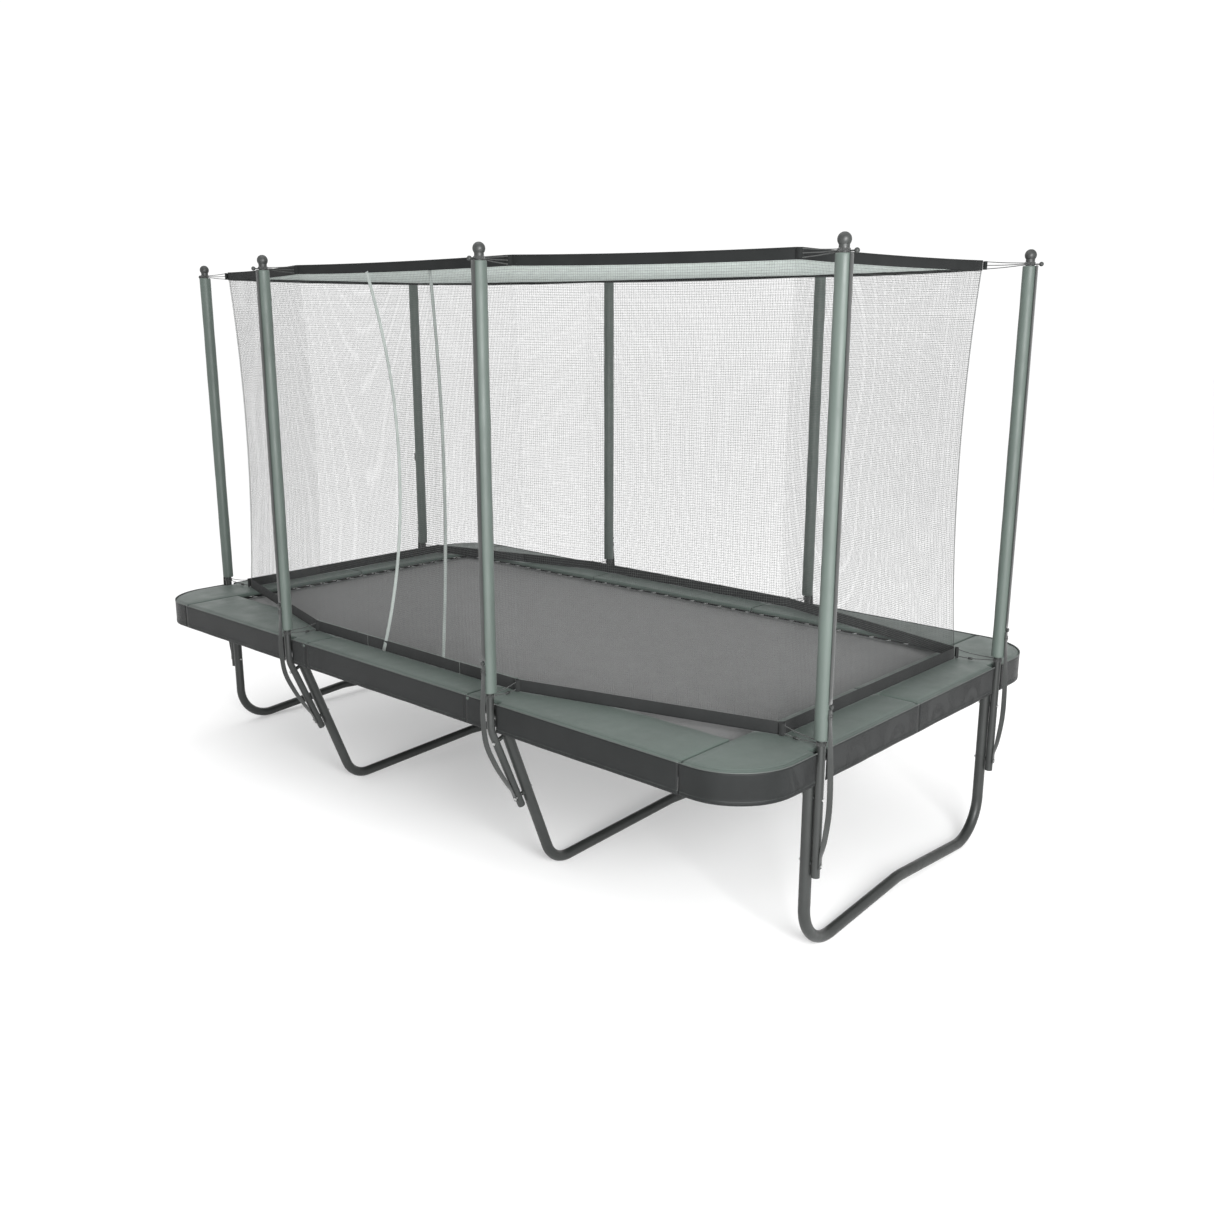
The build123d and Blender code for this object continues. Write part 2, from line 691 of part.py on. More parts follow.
# ---- cords -------------------------------------------------------------
def cords(heights, pole_r):
    """Straight ties from the net's corners to the poles."""
    ties = []
    corner_posts = ["left_front", "front_left", "front_right", "right_front",
                    "right_back", "back_right", "back_left", "left_back"]
    for corner, post in zip(NET_CORNERS, corner_posts):
        foot = POSTS[post].position
        span = Vector(corner[0] - foot.X, corner[1] - foot.Y)
        toward = span.normalized()
        near = Vector(foot.X, foot.Y) + toward * (pole_r + CORD_R + CORD_CLEARANCE)
        far = Vector(*corner) - toward * (CORD_R + CORD_CLEARANCE)
        for net_z, pole_z in heights:
            ties.append(rod((far.X, far.Y, net_z), (near.X, near.Y, pole_z), CORD_R))
    return group(ties)


# ---- write every sub-part ----------------------------------------------
CORNER_NAMES = {
    "front_left": (-1, -1),
    "front_right": (1, -1),
    "back_right": (1, 1),
    "back_left": (-1, 1),
}
for name, signs in CORNER_NAMES.items():
    save(f"frame_corner_{name}", frame_corner(*signs))
save("frame_rail_left", end_rail(-1))
save("frame_rail_right", end_rail(1))
save("frame_rail_front", side_rail(-1))
save("frame_rail_back", side_rail(1))
save("leg_sockets", leg_sockets())

for name, signs in END_POSTS.items():
    save(f"leg_{name}", end_leg(*signs))
save("leg_rail_left", end_leg_rail(-1))
save("leg_rail_right", end_leg_rail(1))
for name, signs in SIDE_POSTS.items():
    save(f"leg_upright_{name}", side_leg_upright(*signs))
save("leg_base_left", side_leg_base(-1))
save("leg_base_right", side_leg_base(1))
save("leg_bolts", leg_bolts())

for name, signs in END_POSTS.items():
    save(f"pole_{name}", straight_pole(POSTS[name], *signs))
for name, signs in SIDE_POSTS.items():
    save(f"pole_{name}", bent_pole(POSTS[name], *signs))
for name, place in POSTS.items():
    save(f"sleeve_{name}", place * sleeve())
save("pole_caps", group(place * cap() for place in POSTS.values()))

save("pole_straps", group(place * upper_strap() for place in POSTS.values()))
save("strap_hooks", group(place * strap_hook() for place in POSTS.values()))
slack_straps = []
for name, signs in END_POSTS.items():
    slack_straps.append(drill(POSTS[name] * end_strap(), end_bolt_lines(*signs)[:1]))
for name, signs in SIDE_POSTS.items():
    slack_straps.append(drill(POSTS[name] * side_strap(), side_bolt_lines(*signs)[:1]))
save("tension_straps", group(slack_straps))

save("jumping_mat", jumping_mat())
save("v_rings", group(place * v_ring() for place in edge_places()))
save("springs", group(place * spring() for place in edge_places()))

pads = pad_ring()
for place in POSTS.values():
    pads = pads - notch(place)
seams_x = [-PAD_IN_X, -PAD_SEAM_X, PAD_SEAM_X, PAD_IN_X]
outer_x = PAD_OUT_X + PAD_GAP
outer_y = PAD_OUT_Y + PAD_GAP
for side, y_range in (("front", (-outer_y, 0)), ("back", (0, outer_y))):
    straight = []
    for x_range in zip(seams_x, seams_x[1:]):
        straight += pad_piece(pads, x_range, y_range)
    save(f"pads_{side}", group(straight))
    save(f"pad_corner_{side}_left", group(pad_piece(pads, (-outer_x, -PAD_IN_X), y_range)))
    save(f"pad_corner_{side}_right", group(pad_piece(pads, (PAD_IN_X, outer_x), y_range)))

save("net_hem_top", group(wall_panels(HEM_TOP_Z, HEM_TOP_H, False)))
save("net_hem_bottom", group(wall_panels(HEM_BOTTOM_Z, HEM_BOTTOM_H, True)))
save("net_walls", group(wall_panels(NET_BOTTOM_Z, HEM_TOP_Z - NET_BOTTOM_Z, True)))

outer_flap_y = -NET_SIDE_Y - NET_T - FLAP_OFFSET / 2
inner_flap_y = -NET_SIDE_Y + FLAP_OFFSET / 2
outer_edges = (DOOR_RIGHT_X, OUTER_EDGE_X, OUTER_EDGE_BOW_X)
inner_edges = (DOOR_LEFT_X, INNER_EDGE_X, INNER_EDGE_X + 10)
save("door_flap_outer", door_flap(*outer_edges, outer_flap_y))
save("door_flap_inner", door_flap(*inner_edges, inner_flap_y))
save("door_trim_outer", door_trim(*outer_edges, outer_flap_y - TRIM_T))
save("door_trim_inner", door_trim(*inner_edges, inner_flap_y + NET_T))

save("net_cords_top", cords(TOP_CORD_HEIGHTS, CAP_NECK_R))
save("net_cords_bottom", cords(BOTTOM_CORD_HEIGHTS, POLE_R))
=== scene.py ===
import bpy
import json
import math
import numpy as np
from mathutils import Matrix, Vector
from mathutils.bvhtree import BVHTree


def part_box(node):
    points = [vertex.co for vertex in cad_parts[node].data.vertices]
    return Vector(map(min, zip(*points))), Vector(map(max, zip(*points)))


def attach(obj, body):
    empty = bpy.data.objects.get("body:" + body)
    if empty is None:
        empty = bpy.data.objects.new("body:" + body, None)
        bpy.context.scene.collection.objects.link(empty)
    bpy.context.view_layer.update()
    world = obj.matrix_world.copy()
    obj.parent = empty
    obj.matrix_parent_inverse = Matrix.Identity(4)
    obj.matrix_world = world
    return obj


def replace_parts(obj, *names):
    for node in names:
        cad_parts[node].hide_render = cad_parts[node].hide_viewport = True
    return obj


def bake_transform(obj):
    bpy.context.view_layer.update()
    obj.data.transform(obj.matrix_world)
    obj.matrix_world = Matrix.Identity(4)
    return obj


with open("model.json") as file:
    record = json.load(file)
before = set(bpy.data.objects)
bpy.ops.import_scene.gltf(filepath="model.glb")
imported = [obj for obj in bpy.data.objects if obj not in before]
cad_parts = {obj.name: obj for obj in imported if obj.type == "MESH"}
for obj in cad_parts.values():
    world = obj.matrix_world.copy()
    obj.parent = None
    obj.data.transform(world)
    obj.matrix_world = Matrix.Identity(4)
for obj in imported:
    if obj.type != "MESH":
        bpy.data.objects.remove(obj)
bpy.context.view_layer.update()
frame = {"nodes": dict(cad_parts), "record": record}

UP = np.array([0.0, 0.0, 1.0])
rng = np.random.default_rng(7)


# ======================= places taken from the frame =======================
def low(node):
    return np.array(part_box(node)[0])


def high(node):
    return np.array(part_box(node)[1])


POST_NAMES = ["left_front", "front_left", "front_right", "right_front",
              "right_back", "back_right", "back_left", "left_back"]
OUTWARD = {"left": (-1.0, 0.0, 0.0), "right": (1.0, 0.0, 0.0),
           "front": (0.0, -1.0, 0.0), "back": (0.0, 1.0, 0.0)}


class Post:
    """A net pole: its axis in plan, the way outward, and its sleeve's height."""

    def __init__(self, name):
        self.name = name
        bottom, top = low(f"sleeve_{name}"), high(f"sleeve_{name}")
        self.axis = np.array([(bottom[0] + top[0]) / 2, (bottom[1] + top[1]) / 2, 0.0])
        self.out = np.array(OUTWARD[name.split("_")[0]])
        self.side = np.cross(UP, self.out)
        self.sleeve_z = (bottom[2], top[2])
        self.leans = name.split("_")[0] in ("front", "back")

    def place(self, outward, sideways, z):
        return self.axis + self.out * outward + self.side * sideways + UP * z


POSTS = [Post(name) for name in POST_NAMES]

MAT_HALF = high("jumping_mat")[:2]
MAT_TOP = high("jumping_mat")[2]
HEM_LOW = (low("net_hem_bottom")[2], high("net_hem_bottom")[2])
HEM_TOP = (low("net_hem_top")[2], high("net_hem_top")[2])
NET_END_X, NET_SIDE_Y = high("net_walls")[:2]
NET_END_Y = 0.895
NET_SIDE_X = 0.925
PAD_OUT = high("pads_back")[1], high("pad_corner_back_right")[0]
PAD_TOP = high("pads_back")[2]
SKIRT_LOW = low("pads_back")[2]
PAD_THICK = 0.030
PAD_IN_X, PAD_IN_Y = 2.205, 1.090
PAD_SEAM_X = 0.745
PAD_CORNER_R = 0.340
NOTCH_HALF = 0.042
NOTCH_IN = 0.039
SLEEVE_R = 0.037


# ======================= mesh helpers =======================
def placed(name, data):
    """A new object, linked into the scene."""
    made = bpy.data.objects.new(name, data)
    bpy.context.scene.collection.objects.link(made)
    return made


def make_object(name, verts, faces, material, smooth=True, body="structure", slot=None):
    """A mesh object that rides on a body. faces may hold arrays or lists."""
    mesh = bpy.data.meshes.new(name)
    mesh.from_pydata([tuple(v) for v in np.asarray(verts).tolist()], [], [tuple(f) for f in faces])
    mesh.materials.append(material)
    if smooth:
        mesh.shade_smooth()
    mesh.update()
    made = placed(name, mesh)
    if body:
        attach(made, body)
    return made


def unit(vectors):
    """The vectors at length 1."""
    return vectors / np.linalg.norm(vectors, axis=-1, keepdims=True)


def round_faces(index):
    """Quads between successive rings; index numbers the vertices, ring by ring."""
    a, b = index[..., :-1, :], index[..., 1:, :]
    return np.stack([a, np.roll(a, -1, axis=-1), np.roll(b, -1, axis=-1), b], axis=-1).reshape(-1, 4)


class Build:
    """Collects vertices and faces of many small shapes into one mesh."""

    def __init__(self):
        self.verts, self.faces, self.count = [], [], 0

    def add(self, verts, faces):
        verts = np.asarray(verts, float).reshape(-1, 3)
        self.verts.append(verts)
        self.faces.extend((np.asarray(faces) + self.count).tolist())
        self.count += len(verts)

    def tubes(self, lines, normals, radius, sides=3, closed=False):
        """Round tubes along lines, an array (lines, points, 3), with a normal for each point."""
        lines = np.asarray(lines, float)
        if lines.ndim == 2:
            lines, normals = lines[None], np.asarray(normals, float)[None]
        many, points, _ = lines.shape
        if points < 2 or many == 0:
            return
        normals = np.broadcast_to(normals, lines.shape)
        tangent = unit(np.gradient(lines, axis=1))
        across = unit(np.cross(tangent, normals))
        normal = np.cross(across, tangent)
        turn = np.arange(sides) * 2 * np.pi / sides
        ring = lines[:, :, None] + radius * (np.cos(turn)[:, None] * normal[:, :, None]
                                             + np.sin(turn)[:, None] * across[:, :, None])
        index = np.arange(many * points * sides).reshape(many, points, sides)
        start = self.count
        self.add(ring.reshape(-1, 3), round_faces(index))
        if not closed:
            for cap in (index[:, 0, ::-1], index[:, -1, :]):
                self.faces.extend((cap + start).tolist())

    def band(self, line, normals, width_dir, width, thick, crown=0.0):
        """A flat band along a line: width along width_dir, thickness along the normals."""
        line = np.asarray(line, float)
        normals = np.broadcast_to(np.asarray(normals, float), line.shape)
        width_dir = np.broadcast_to(np.asarray(width_dir, float), line.shape)
        over = np.array([-0.5, -0.46, 0.0, 0.46, 0.5])
        across = np.append(over, over[::-1])[:, None]
        lift = np.array([0.25, 0.5, 0.5 + crown, 0.5, 0.25, -0.25, -0.5, -0.5, -0.5, -0.25])[:, None]
        ring = line[:, None] + width * across * width_dir[:, None] + thick * lift * normals[:, None]
        index = np.arange(ring.size // 3).reshape(ring.shape[:2])
        start = self.count
        self.add(ring.reshape(-1, 3), round_faces(index))
        self.faces.append((index[0, ::-1] + start).tolist())
        self.faces.append((index[-1] + start).tolist())

    def make(self, name, material, **options):
        return make_object(name, np.concatenate(self.verts), self.faces, material, **options)


def run_of(line):
    """Length along a line at each of its points."""
    return np.concatenate([[0], np.cumsum(np.linalg.norm(np.diff(line, axis=0), axis=1))])


def smooth_path(points, count):
    """Points along a smooth curve through the given ones."""
    points = np.asarray(points, float)
    padded = np.vstack([2 * points[0] - points[1], points, 2 * points[-1] - points[-2]])
    spans = len(points) - 1
    at = np.linspace(0, spans - 1e-6, count)
    i = at.astype(int)
    t = (at - i)[:, None]
    p0, p1, p2, p3 = padded[i], padded[i + 1], padded[i + 2], padded[i + 3]
    square = 2 * p0 - 5 * p1 + 4 * p2 - p3
    cube = 3 * p1 - p0 - 3 * p2 + p3
    return 0.5 * (2 * p1 + (p2 - p0) * t + square * t**2 + cube * t**3)


# ======================= materials =======================
class Shade:
    """A small node-building helper round one Principled material."""

    def __init__(self, name, rough, color=None, metallic=0.0, specular=0.5, sheen=0.0):
        self.mat = bpy.data.materials.new(name)
        self.mat.use_nodes = True
        self.tree = self.mat.node_tree
        self.shader = self.tree.nodes["Principled BSDF"]
        self.shader.inputs["Roughness"].default_value = rough
        self.shader.inputs["Metallic"].default_value = metallic
        self.shader.inputs["Specular IOR Level"].default_value = specular
        self.shader.inputs["Sheen Weight"].default_value = sheen
        if color:
            self.shader.inputs["Base Color"].default_value = (*color, 1)
        self.place = self.node("ShaderNodeTexCoord").outputs["Object"]
        self.height = None

    def node(self, kind, **inputs):
        made = self.tree.nodes.new(kind)
        for key, value in inputs.items():
            made.inputs[key].default_value = value
        return made

    def link(self, start, end):
        self.tree.links.new(start, end)

    def noise(self, scale, detail=3.0, stretch=(1, 1, 1)):
        """Noise from 0 to 1 over the object's own coordinates."""
        mapping = self.node("ShaderNodeMapping", Scale=stretch)
        self.link(self.place, mapping.inputs["Vector"])
        noise = self.node("ShaderNodeTexNoise", Scale=scale, Detail=detail)
        self.link(mapping.outputs["Vector"], noise.inputs["Vector"])
        return noise.outputs["Fac"]

    def wave(self, scale, direction):
        """Even ribs across one direction, X, Y or Z."""
        wave = self.node("ShaderNodeTexWave", Scale=scale)
        wave.bands_direction = direction
        self.link(self.place, wave.inputs["Vector"])
        return wave.outputs["Fac"]

    def math(self, operation, a, b):
        made = self.node("ShaderNodeMath")
        made.operation = operation
        for socket, value in zip(made.inputs, (a, b)):
            if isinstance(value, (int, float)):
                socket.default_value = value
            else:
                self.link(value, socket)
        return made.outputs[0]

    def ramp(self, value, stops):
        """Colours or greys at places from 0 to 1."""
        ramp = self.node("ShaderNodeValToRGB")
        self.link(value, ramp.inputs["Fac"])
        elements = ramp.color_ramp.elements
        while len(elements) < len(stops):
            elements.new(0.5)
        for element, (place, color) in zip(elements, stops):
            element.position = place
            element.color = (*color, 1) if hasattr(color, "__len__") else (color, color, color, 1)
        return ramp.outputs["Color"]

    def color(self, value, stops):
        self.link(self.ramp(value, stops), self.shader.inputs["Base Color"])

    def roughness(self, value, low_rough, high_rough):
        self.link(self.ramp(value, [(0.3, low_rough), (0.7, high_rough)]), self.shader.inputs["Roughness"])

    def bump(self, value, strength, distance):
        """Adds one layer of relief; distance is in metres."""
        bump = self.node("ShaderNodeBump", Strength=strength, Distance=distance)
        self.link(value, bump.inputs["Height"])
        if self.height is not None:
            self.link(self.height, bump.inputs["Normal"])
        self.height = bump.outputs["Normal"]
        self.link(self.height, self.shader.inputs["Normal"])


def tint(color, factor):
    return tuple(min(1.0, c * factor) for c in color)


def powder_coat(name, color):
    """Satin powder coat: orange peel, a little dust and worn patches."""
    s = Shade(name, 0.42, specular=0.4)
    patches = s.noise(5.0, 6.0)
    s.color(patches, [(0.3, tint(color, 0.82)), (0.55, color), (0.75, tint(color, 1.3))])
    s.roughness(s.noise(24.0, 4.0), 0.32, 0.5)
    s.bump(s.noise(900.0, 1.0), 0.25, 0.0004)
    s.bump(s.noise(90.0, 2.0), 0.12, 0.0006)
    return s.mat


def zinc(name):
    """Zinc-plated steel with faint clouding and drawing lines."""
    s = Shade(name, 0.34, metallic=1.0)
    s.color(s.noise(60.0, 5.0), [(0.3, (0.42, 0.43, 0.43)), (0.7, (0.66, 0.66, 0.65))])
    s.roughness(s.noise(160.0, 2.0), 0.26, 0.44)
    s.bump(s.noise(700.0, 2.0, (1, 1, 8)), 0.2, 0.0002)
    return s.mat


def moulded(name, color):
    """Moulded plastic with a fine spark texture."""
    s = Shade(name, 0.46, specular=0.5)
    s.color(s.noise(18.0, 4.0), [(0.3, tint(color, 0.85)), (0.7, tint(color, 1.2))])
    s.roughness(s.noise(70.0, 2.0), 0.4, 0.55)
    s.bump(s.noise(1500.0, 1.0), 0.35, 0.0002)
    return s.mat


def vinyl(name, color, grain=420.0):
    """Coated fabric over foam: leather-like grain, soft shallow creases and cloudy colour."""
    s = Shade(name, 0.5, specular=0.42, sheen=0.05)
    s.color(s.noise(2.2, 5.0), [(0.3, tint(color, 0.88)), (0.5, color), (0.72, tint(color, 1.12))])
    s.roughness(s.noise(9.0, 4.0), 0.42, 0.58)
    s.bump(s.noise(14.0, 3.0), 0.25, 0.002)
    s.bump(s.noise(grain, 2.0), 0.3, 0.0005)
    weave = s.math("MULTIPLY", s.wave(260.0, "X"), s.wave(260.0, "Y"))
    s.bump(weave, 0.18, 0.0003)
    return s.mat


def woven(name, color, pitch=0.0016, directions=("X", "Z"), rough=0.78,
          contrast=0.25, sheen=0.25, gloss=0.3):
    """Plain weave: two crossing sets of ribs, with cloudy colour, a painted highlight on the crowns and
    painted shade between them.
    """
    s = Shade(name, rough, specular=gloss, sheen=sheen)
    scale = math.pi / (10.0 * pitch)
    ribs = s.math("MAXIMUM", s.wave(scale, directions[0]), s.wave(scale, directions[1]))
    clouds = s.noise(7.0, 5.0)
    # Colour: cloudy tone mixed with the ribs, giving a painted highlight on their crowns and painted shade in
    # the hollows.
    clouds_and_crown_shading = s.math("ADD", s.math("MULTIPLY", ribs, 0.35), s.math("MULTIPLY", clouds, 0.65))
    s.color(clouds_and_crown_shading, [(0.25, tint(color, 1 - contrast)), (0.55, color), (0.8, tint(color, 1 + contrast))])
    s.bump(ribs, 0.5, 0.0004)
    s.bump(s.noise(40.0, 3.0), 0.15, 0.001)
    return s.mat


def yarn(name, color):
    """Knitted polyethylene yarn, slightly glossy with uneven colour."""
    s = Shade(name, 0.55, specular=0.45)
    s.color(s.noise(30.0, 3.0), [(0.3, tint(color, 0.8)), (0.7, tint(color, 1.25))])
    s.bump(s.noise(1200.0, 1.0), 0.4, 0.0003)
    return s.mat


GREY_GREEN = (0.058, 0.078, 0.068)
SLEEVE_GREEN = (0.068, 0.087, 0.077)
FRAME_PAINT = powder_coat("frame_powder_coat", (0.020, 0.022, 0.021))
LEG_PAINT = powder_coat("leg_powder_coat", (0.020, 0.022, 0.021))
POLE_PAINT = powder_coat("pole_powder_coat", (0.022, 0.024, 0.023))
ZINC = zinc("zinc_plate")
CAP_PLASTIC = moulded("cap_plastic", (0.020, 0.022, 0.021))
PAD_VINYL = vinyl("pad_vinyl", GREY_GREEN)
SLEEVE_VINYL = vinyl("sleeve_vinyl", SLEEVE_GREEN, grain=520.0)
SKIRT_FABRIC = woven("skirt_fabric", (0.010, 0.011, 0.011), pitch=0.0012, rough=0.36, sheen=0.0, gloss=0.16)
PIPING = vinyl("pad_piping", (0.050, 0.058, 0.054), grain=700.0)
MAT_WEAVE = woven("mat_weave", (0.036, 0.038, 0.037), pitch=0.0024, directions=("X", "Y"), rough=0.7)
MAT_BINDING = woven("mat_binding", (0.036, 0.039, 0.038), pitch=0.0020, directions=("X", "Y"))
WEBBING = woven("strap_webbing", (0.024, 0.026, 0.025), pitch=0.0022, directions=("Z", "Z"), contrast=0.35)
HEM_FABRIC = woven("hem_fabric", (0.011, 0.012, 0.012), pitch=0.0014, sheen=0.02, gloss=0.12)
# The bottom band's hem fabric is painted lighter than the top band's: painted light standing for the lit
# front of the band.
BOTTOM_HEM_FABRIC_PAINTED_LIGHTER = woven("bottom_hem_fabric_painted_lighter", (0.020, 0.021, 0.021), pitch=0.0014, sheen=0.05, gloss=0.15)
RIBBON = woven("trim_ribbon", (0.27, 0.30, 0.285), pitch=0.0016, rough=0.6)
NET_YARN = yarn("net_yarn", (0.060, 0.063, 0.062))
# Yarn of the top cover, painted pale: a painted highlight standing for net yarn lit from above.
ROOF_YARN_PAINTED_LIT = yarn("roof_net_yarn_painted_lit", (0.40, 0.44, 0.42))
CORD = woven("tie_cord", (0.026, 0.028, 0.027), pitch=0.0018, directions=("X", "Z"), contrast=0.4)
THREAD = woven("stitch_thread", (0.075, 0.085, 0.080), pitch=0.0010, contrast=0.2)

CAD_FINISH = {"frame_steel": FRAME_PAINT, "leg_steel": LEG_PAINT, "pole_steel": POLE_PAINT,
              "zinc_steel": ZINC, "cap_plastic": CAP_PLASTIC}


def finish_cad_nodes():
    """The metal and plastic nodes keep their CAD shape and get their finish."""
    for row in frame["record"]["subparts"]:
        finish = CAD_FINISH.get(row["material_slot"])
        if finish is None:
            continue
        node = frame["nodes"][row["node"]]
        if not node.material_slots:
            node.data.materials.append(finish)
        for one in node.material_slots:
            one.link = "OBJECT"
            one.material = finish


finish_cad_nodes()


# ======================= the net =======================
CORNERS = np.array([(-NET_END_X, -NET_END_Y), (-NET_SIDE_X, -NET_SIDE_Y), (NET_SIDE_X, -NET_SIDE_Y),
                    (NET_END_X, -NET_END_Y), (NET_END_X, NET_END_Y), (NET_SIDE_X, NET_SIDE_Y),
                    (-NET_SIDE_X, NET_SIDE_Y), (-NET_END_X, NET_END_Y)])
WALL_LOW = HEM_LOW[1] - 0.006
WALL_TOP = HEM_TOP[0] + 0.004
NET_PITCH = 0.012
YARN_R = 0.00053
CORNER_BOW = 0.050
HEM_SAG = 0.007
FACET = 0.018
RIPPLE = 0.0012
ROOF_SAG = 0.012
ROOF_YARN_R = 0.0006
FRONT = 1


ENDS = np.roll(CORNERS, -1, axis=0)
ALONG = unit(ENDS - CORNERS)
INWARD = unit(ALONG - np.roll(ALONG, 1, axis=0))
WALL_NORMALS = np.column_stack([ALONG[:, 1], -ALONG[:, 0], np.zeros(8)])


def panel_ends(index):
    """The two ends of one long side of the wall, in plan, just beside its corners."""
    return CORNERS[index] + ALONG[index] * FACET, ENDS[index] - ALONG[index] * FACET


def share_up(z):
    """Height from the wall's foot, 0, to its top, 1."""
    return np.clip((z - HEM_LOW[0]) / (HEM_TOP[1] - HEM_LOW[0]), 0, 1)


def bow(z):
    """How far the wall's corners are drawn inward at height z."""
    v = share_up(z)
    return CORNER_BOW * 4 * v * (1 - v)


def wall_point(index, s, z):
    """A point of a wall panel: s from 0 to 1 along it, z a height; arrays allowed."""
    a, b = panel_ends(index)
    s, z = np.broadcast_arrays(np.asarray(s, float), np.asarray(z, float))
    drawn = bow(z)
    pa = a + INWARD[index] * drawn[..., None]
    pb = b + INWARD[(index + 1) % 8] * drawn[..., None]
    plan = pa * (1 - s[..., None]) + pb * s[..., None]
    normal = WALL_NORMALS[index]
    wide = np.sin(math.pi * s) ** 0.5
    ripple = np.sin(5.1 * plan[..., 0] + 3.7 * z + index)
    ripple = ripple + 0.6 * np.sin(11.3 * plan[..., 1] + 6.1 * z + 2 * index)
    plan = plan + normal[:2] * (RIPPLE * wide * ripple * np.sin(math.pi * share_up(z)))[..., None]
    share = np.clip((z - HEM_LOW[1]) / (HEM_TOP[0] - HEM_LOW[1]), 0, 1.1)
    sagged = z - HEM_SAG * 4 * s * (1 - s) * share
    return np.concatenate([plan, sagged[..., None]], axis=-1)


def panel_length(index):
    a, b = panel_ends(index)
    return float(np.linalg.norm(b - a))


DOOR_LEFT, DOOR_RIGHT = low("door_flap_inner")[0], high("door_flap_outer")[0]
ROWS = np.arange(WALL_LOW, WALL_TOP, NET_PITCH)
HEIGHTS = np.linspace(WALL_LOW, WALL_TOP, 15)


def net_field(build, index, s0, s1):
    """The yarns of one panel between two places along it."""
    length = panel_length(index) * (s1 - s0)
    across = np.linspace(s0, s1, max(3, int(length / 0.14) + 1))
    normal = WALL_NORMALS[index]
    rows = wall_point(index, across[None, :], ROWS[:, None])
    build.tubes(rows, normal, YARN_R)
    count = max(2, round(length / NET_PITCH) + 1)
    columns = wall_point(index, np.linspace(s0, s1, count)[:, None], HEIGHTS[None, :])
    build.tubes(columns, normal, YARN_R)


def net_facet(build, index):
    """The narrow, closer strip of net at a corner."""
    before = wall_point((index - 1) % 8, 1.0, HEIGHTS)
    after = wall_point(index, 0.0, HEIGHTS)
    normal = np.append(-INWARD[index], 0.0)
    share = np.linspace(0, 1, 5)[1:-1, None, None]
    build.tubes(before[None] * (1 - share) + after[None] * share, normal, YARN_R)
    pairs = np.stack([wall_point((index - 1) % 8, 1.0, ROWS), wall_point(index, 0.0, ROWS)], axis=1)
    build.tubes(pairs, normal, YARN_R)


def front_share(x):
    a, b = panel_ends(FRONT)
    return (x - a[0]) / (b[0] - a[0])


def net_wall():
    build = Build()
    for index in range(8):
        if index == FRONT:
            net_field(build, index, 0.0, front_share(DOOR_LEFT - 0.004))
            net_field(build, index, front_share(DOOR_RIGHT + 0.004), 1.0)
        else:
            net_field(build, index, 0.0, 1.0)
        net_facet(build, index)
    wall = build.make("safety_net_wall", NET_YARN, slot="net_mesh")
    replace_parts(wall, "net_walls")


def top_net():
    """The fine net stretched level across the top, inside the upper hem; its yarn is painted pale, a painted
    highlight for yarn lit from above.
    """
    build = Build()
    for axis in (0, 1):
        build.tubes(roof_lines(axis), UP, ROOF_YARN_R)
    roof = build.make("net_top_cover", ROOF_YARN_PAINTED_LIT, slot="net_mesh")


def roof_lines(axis):
    """The cover's yarns that run along one axis, from hem to hem, a little sunk in the middle."""
    cut_x, cut_y = NET_END_X - NET_SIDE_X, NET_SIDE_Y - NET_END_Y
    reach = (NET_SIDE_Y, NET_END_X)[axis]
    across = np.arange(-reach + NET_PITCH, reach, NET_PITCH)
    if axis == 0:
        half = NET_END_X - cut_x * np.clip((np.abs(across) - NET_END_Y) / cut_y, 0, 1)
    else:
        half = NET_SIDE_Y - cut_y * np.clip((np.abs(across) - NET_SIDE_X) / cut_x, 0, 1)
    along = np.linspace(-1, 1, 25)[None, :] * (half[:, None] - 0.004)
    plan = [along, np.broadcast_to(across[:, None], along.shape)]
    x, y = plan if axis == 0 else plan[::-1]
    rim = (1 - (x / NET_END_X) ** 2) * (1 - (y / NET_SIDE_Y) ** 2)
    return np.stack([x, y, HEM_TOP[0] + 0.012 - ROOF_SAG * rim], axis=-1)


def ring_line(z, indices=range(8), span=None, step=0.07, lift=0.0):
    """A line round the wall, or along part of one panel, at height z, moved outward by lift."""
    line, normals = [], []
    for index in indices:
        s0, s1 = span or (0.0, 1.0)
        count = max(2, int(panel_length(index) * (s1 - s0) / step))
        normal = WALL_NORMALS[index]
        at = wall_point(index, np.linspace(s0, s1, count), np.full(count, z)) + normal * lift
        line.extend(at)
        normals.extend([normal] * count)
    return np.array(line), np.array(normals)


def stitches(build, line, normals, step=0.008, size=0.0007, lift=0.0):
    """A row of short thread stitches along a line."""
    line = np.asarray(line)
    run = run_of(line)
    starts = np.arange(step / 2, run[-1] - step, step)
    ends = starts + step * 0.65
    pick = lambda at, data: np.stack([np.interp(at, run, data[:, k]) for k in range(3)], axis=1)
    n = unit(pick((starts + ends) / 2, np.broadcast_to(np.asarray(normals, float), line.shape)))
    a, b = pick(starts, line) + n * lift, pick(ends, line) + n * lift
    build.tubes(np.stack([a, (a + b) / 2 + n * size * 0.5, b], axis=1), n[:, None], size)


def closed_ring(line, normals):
    return np.vstack([line, line[:1]]), np.vstack([normals, normals[:1]])


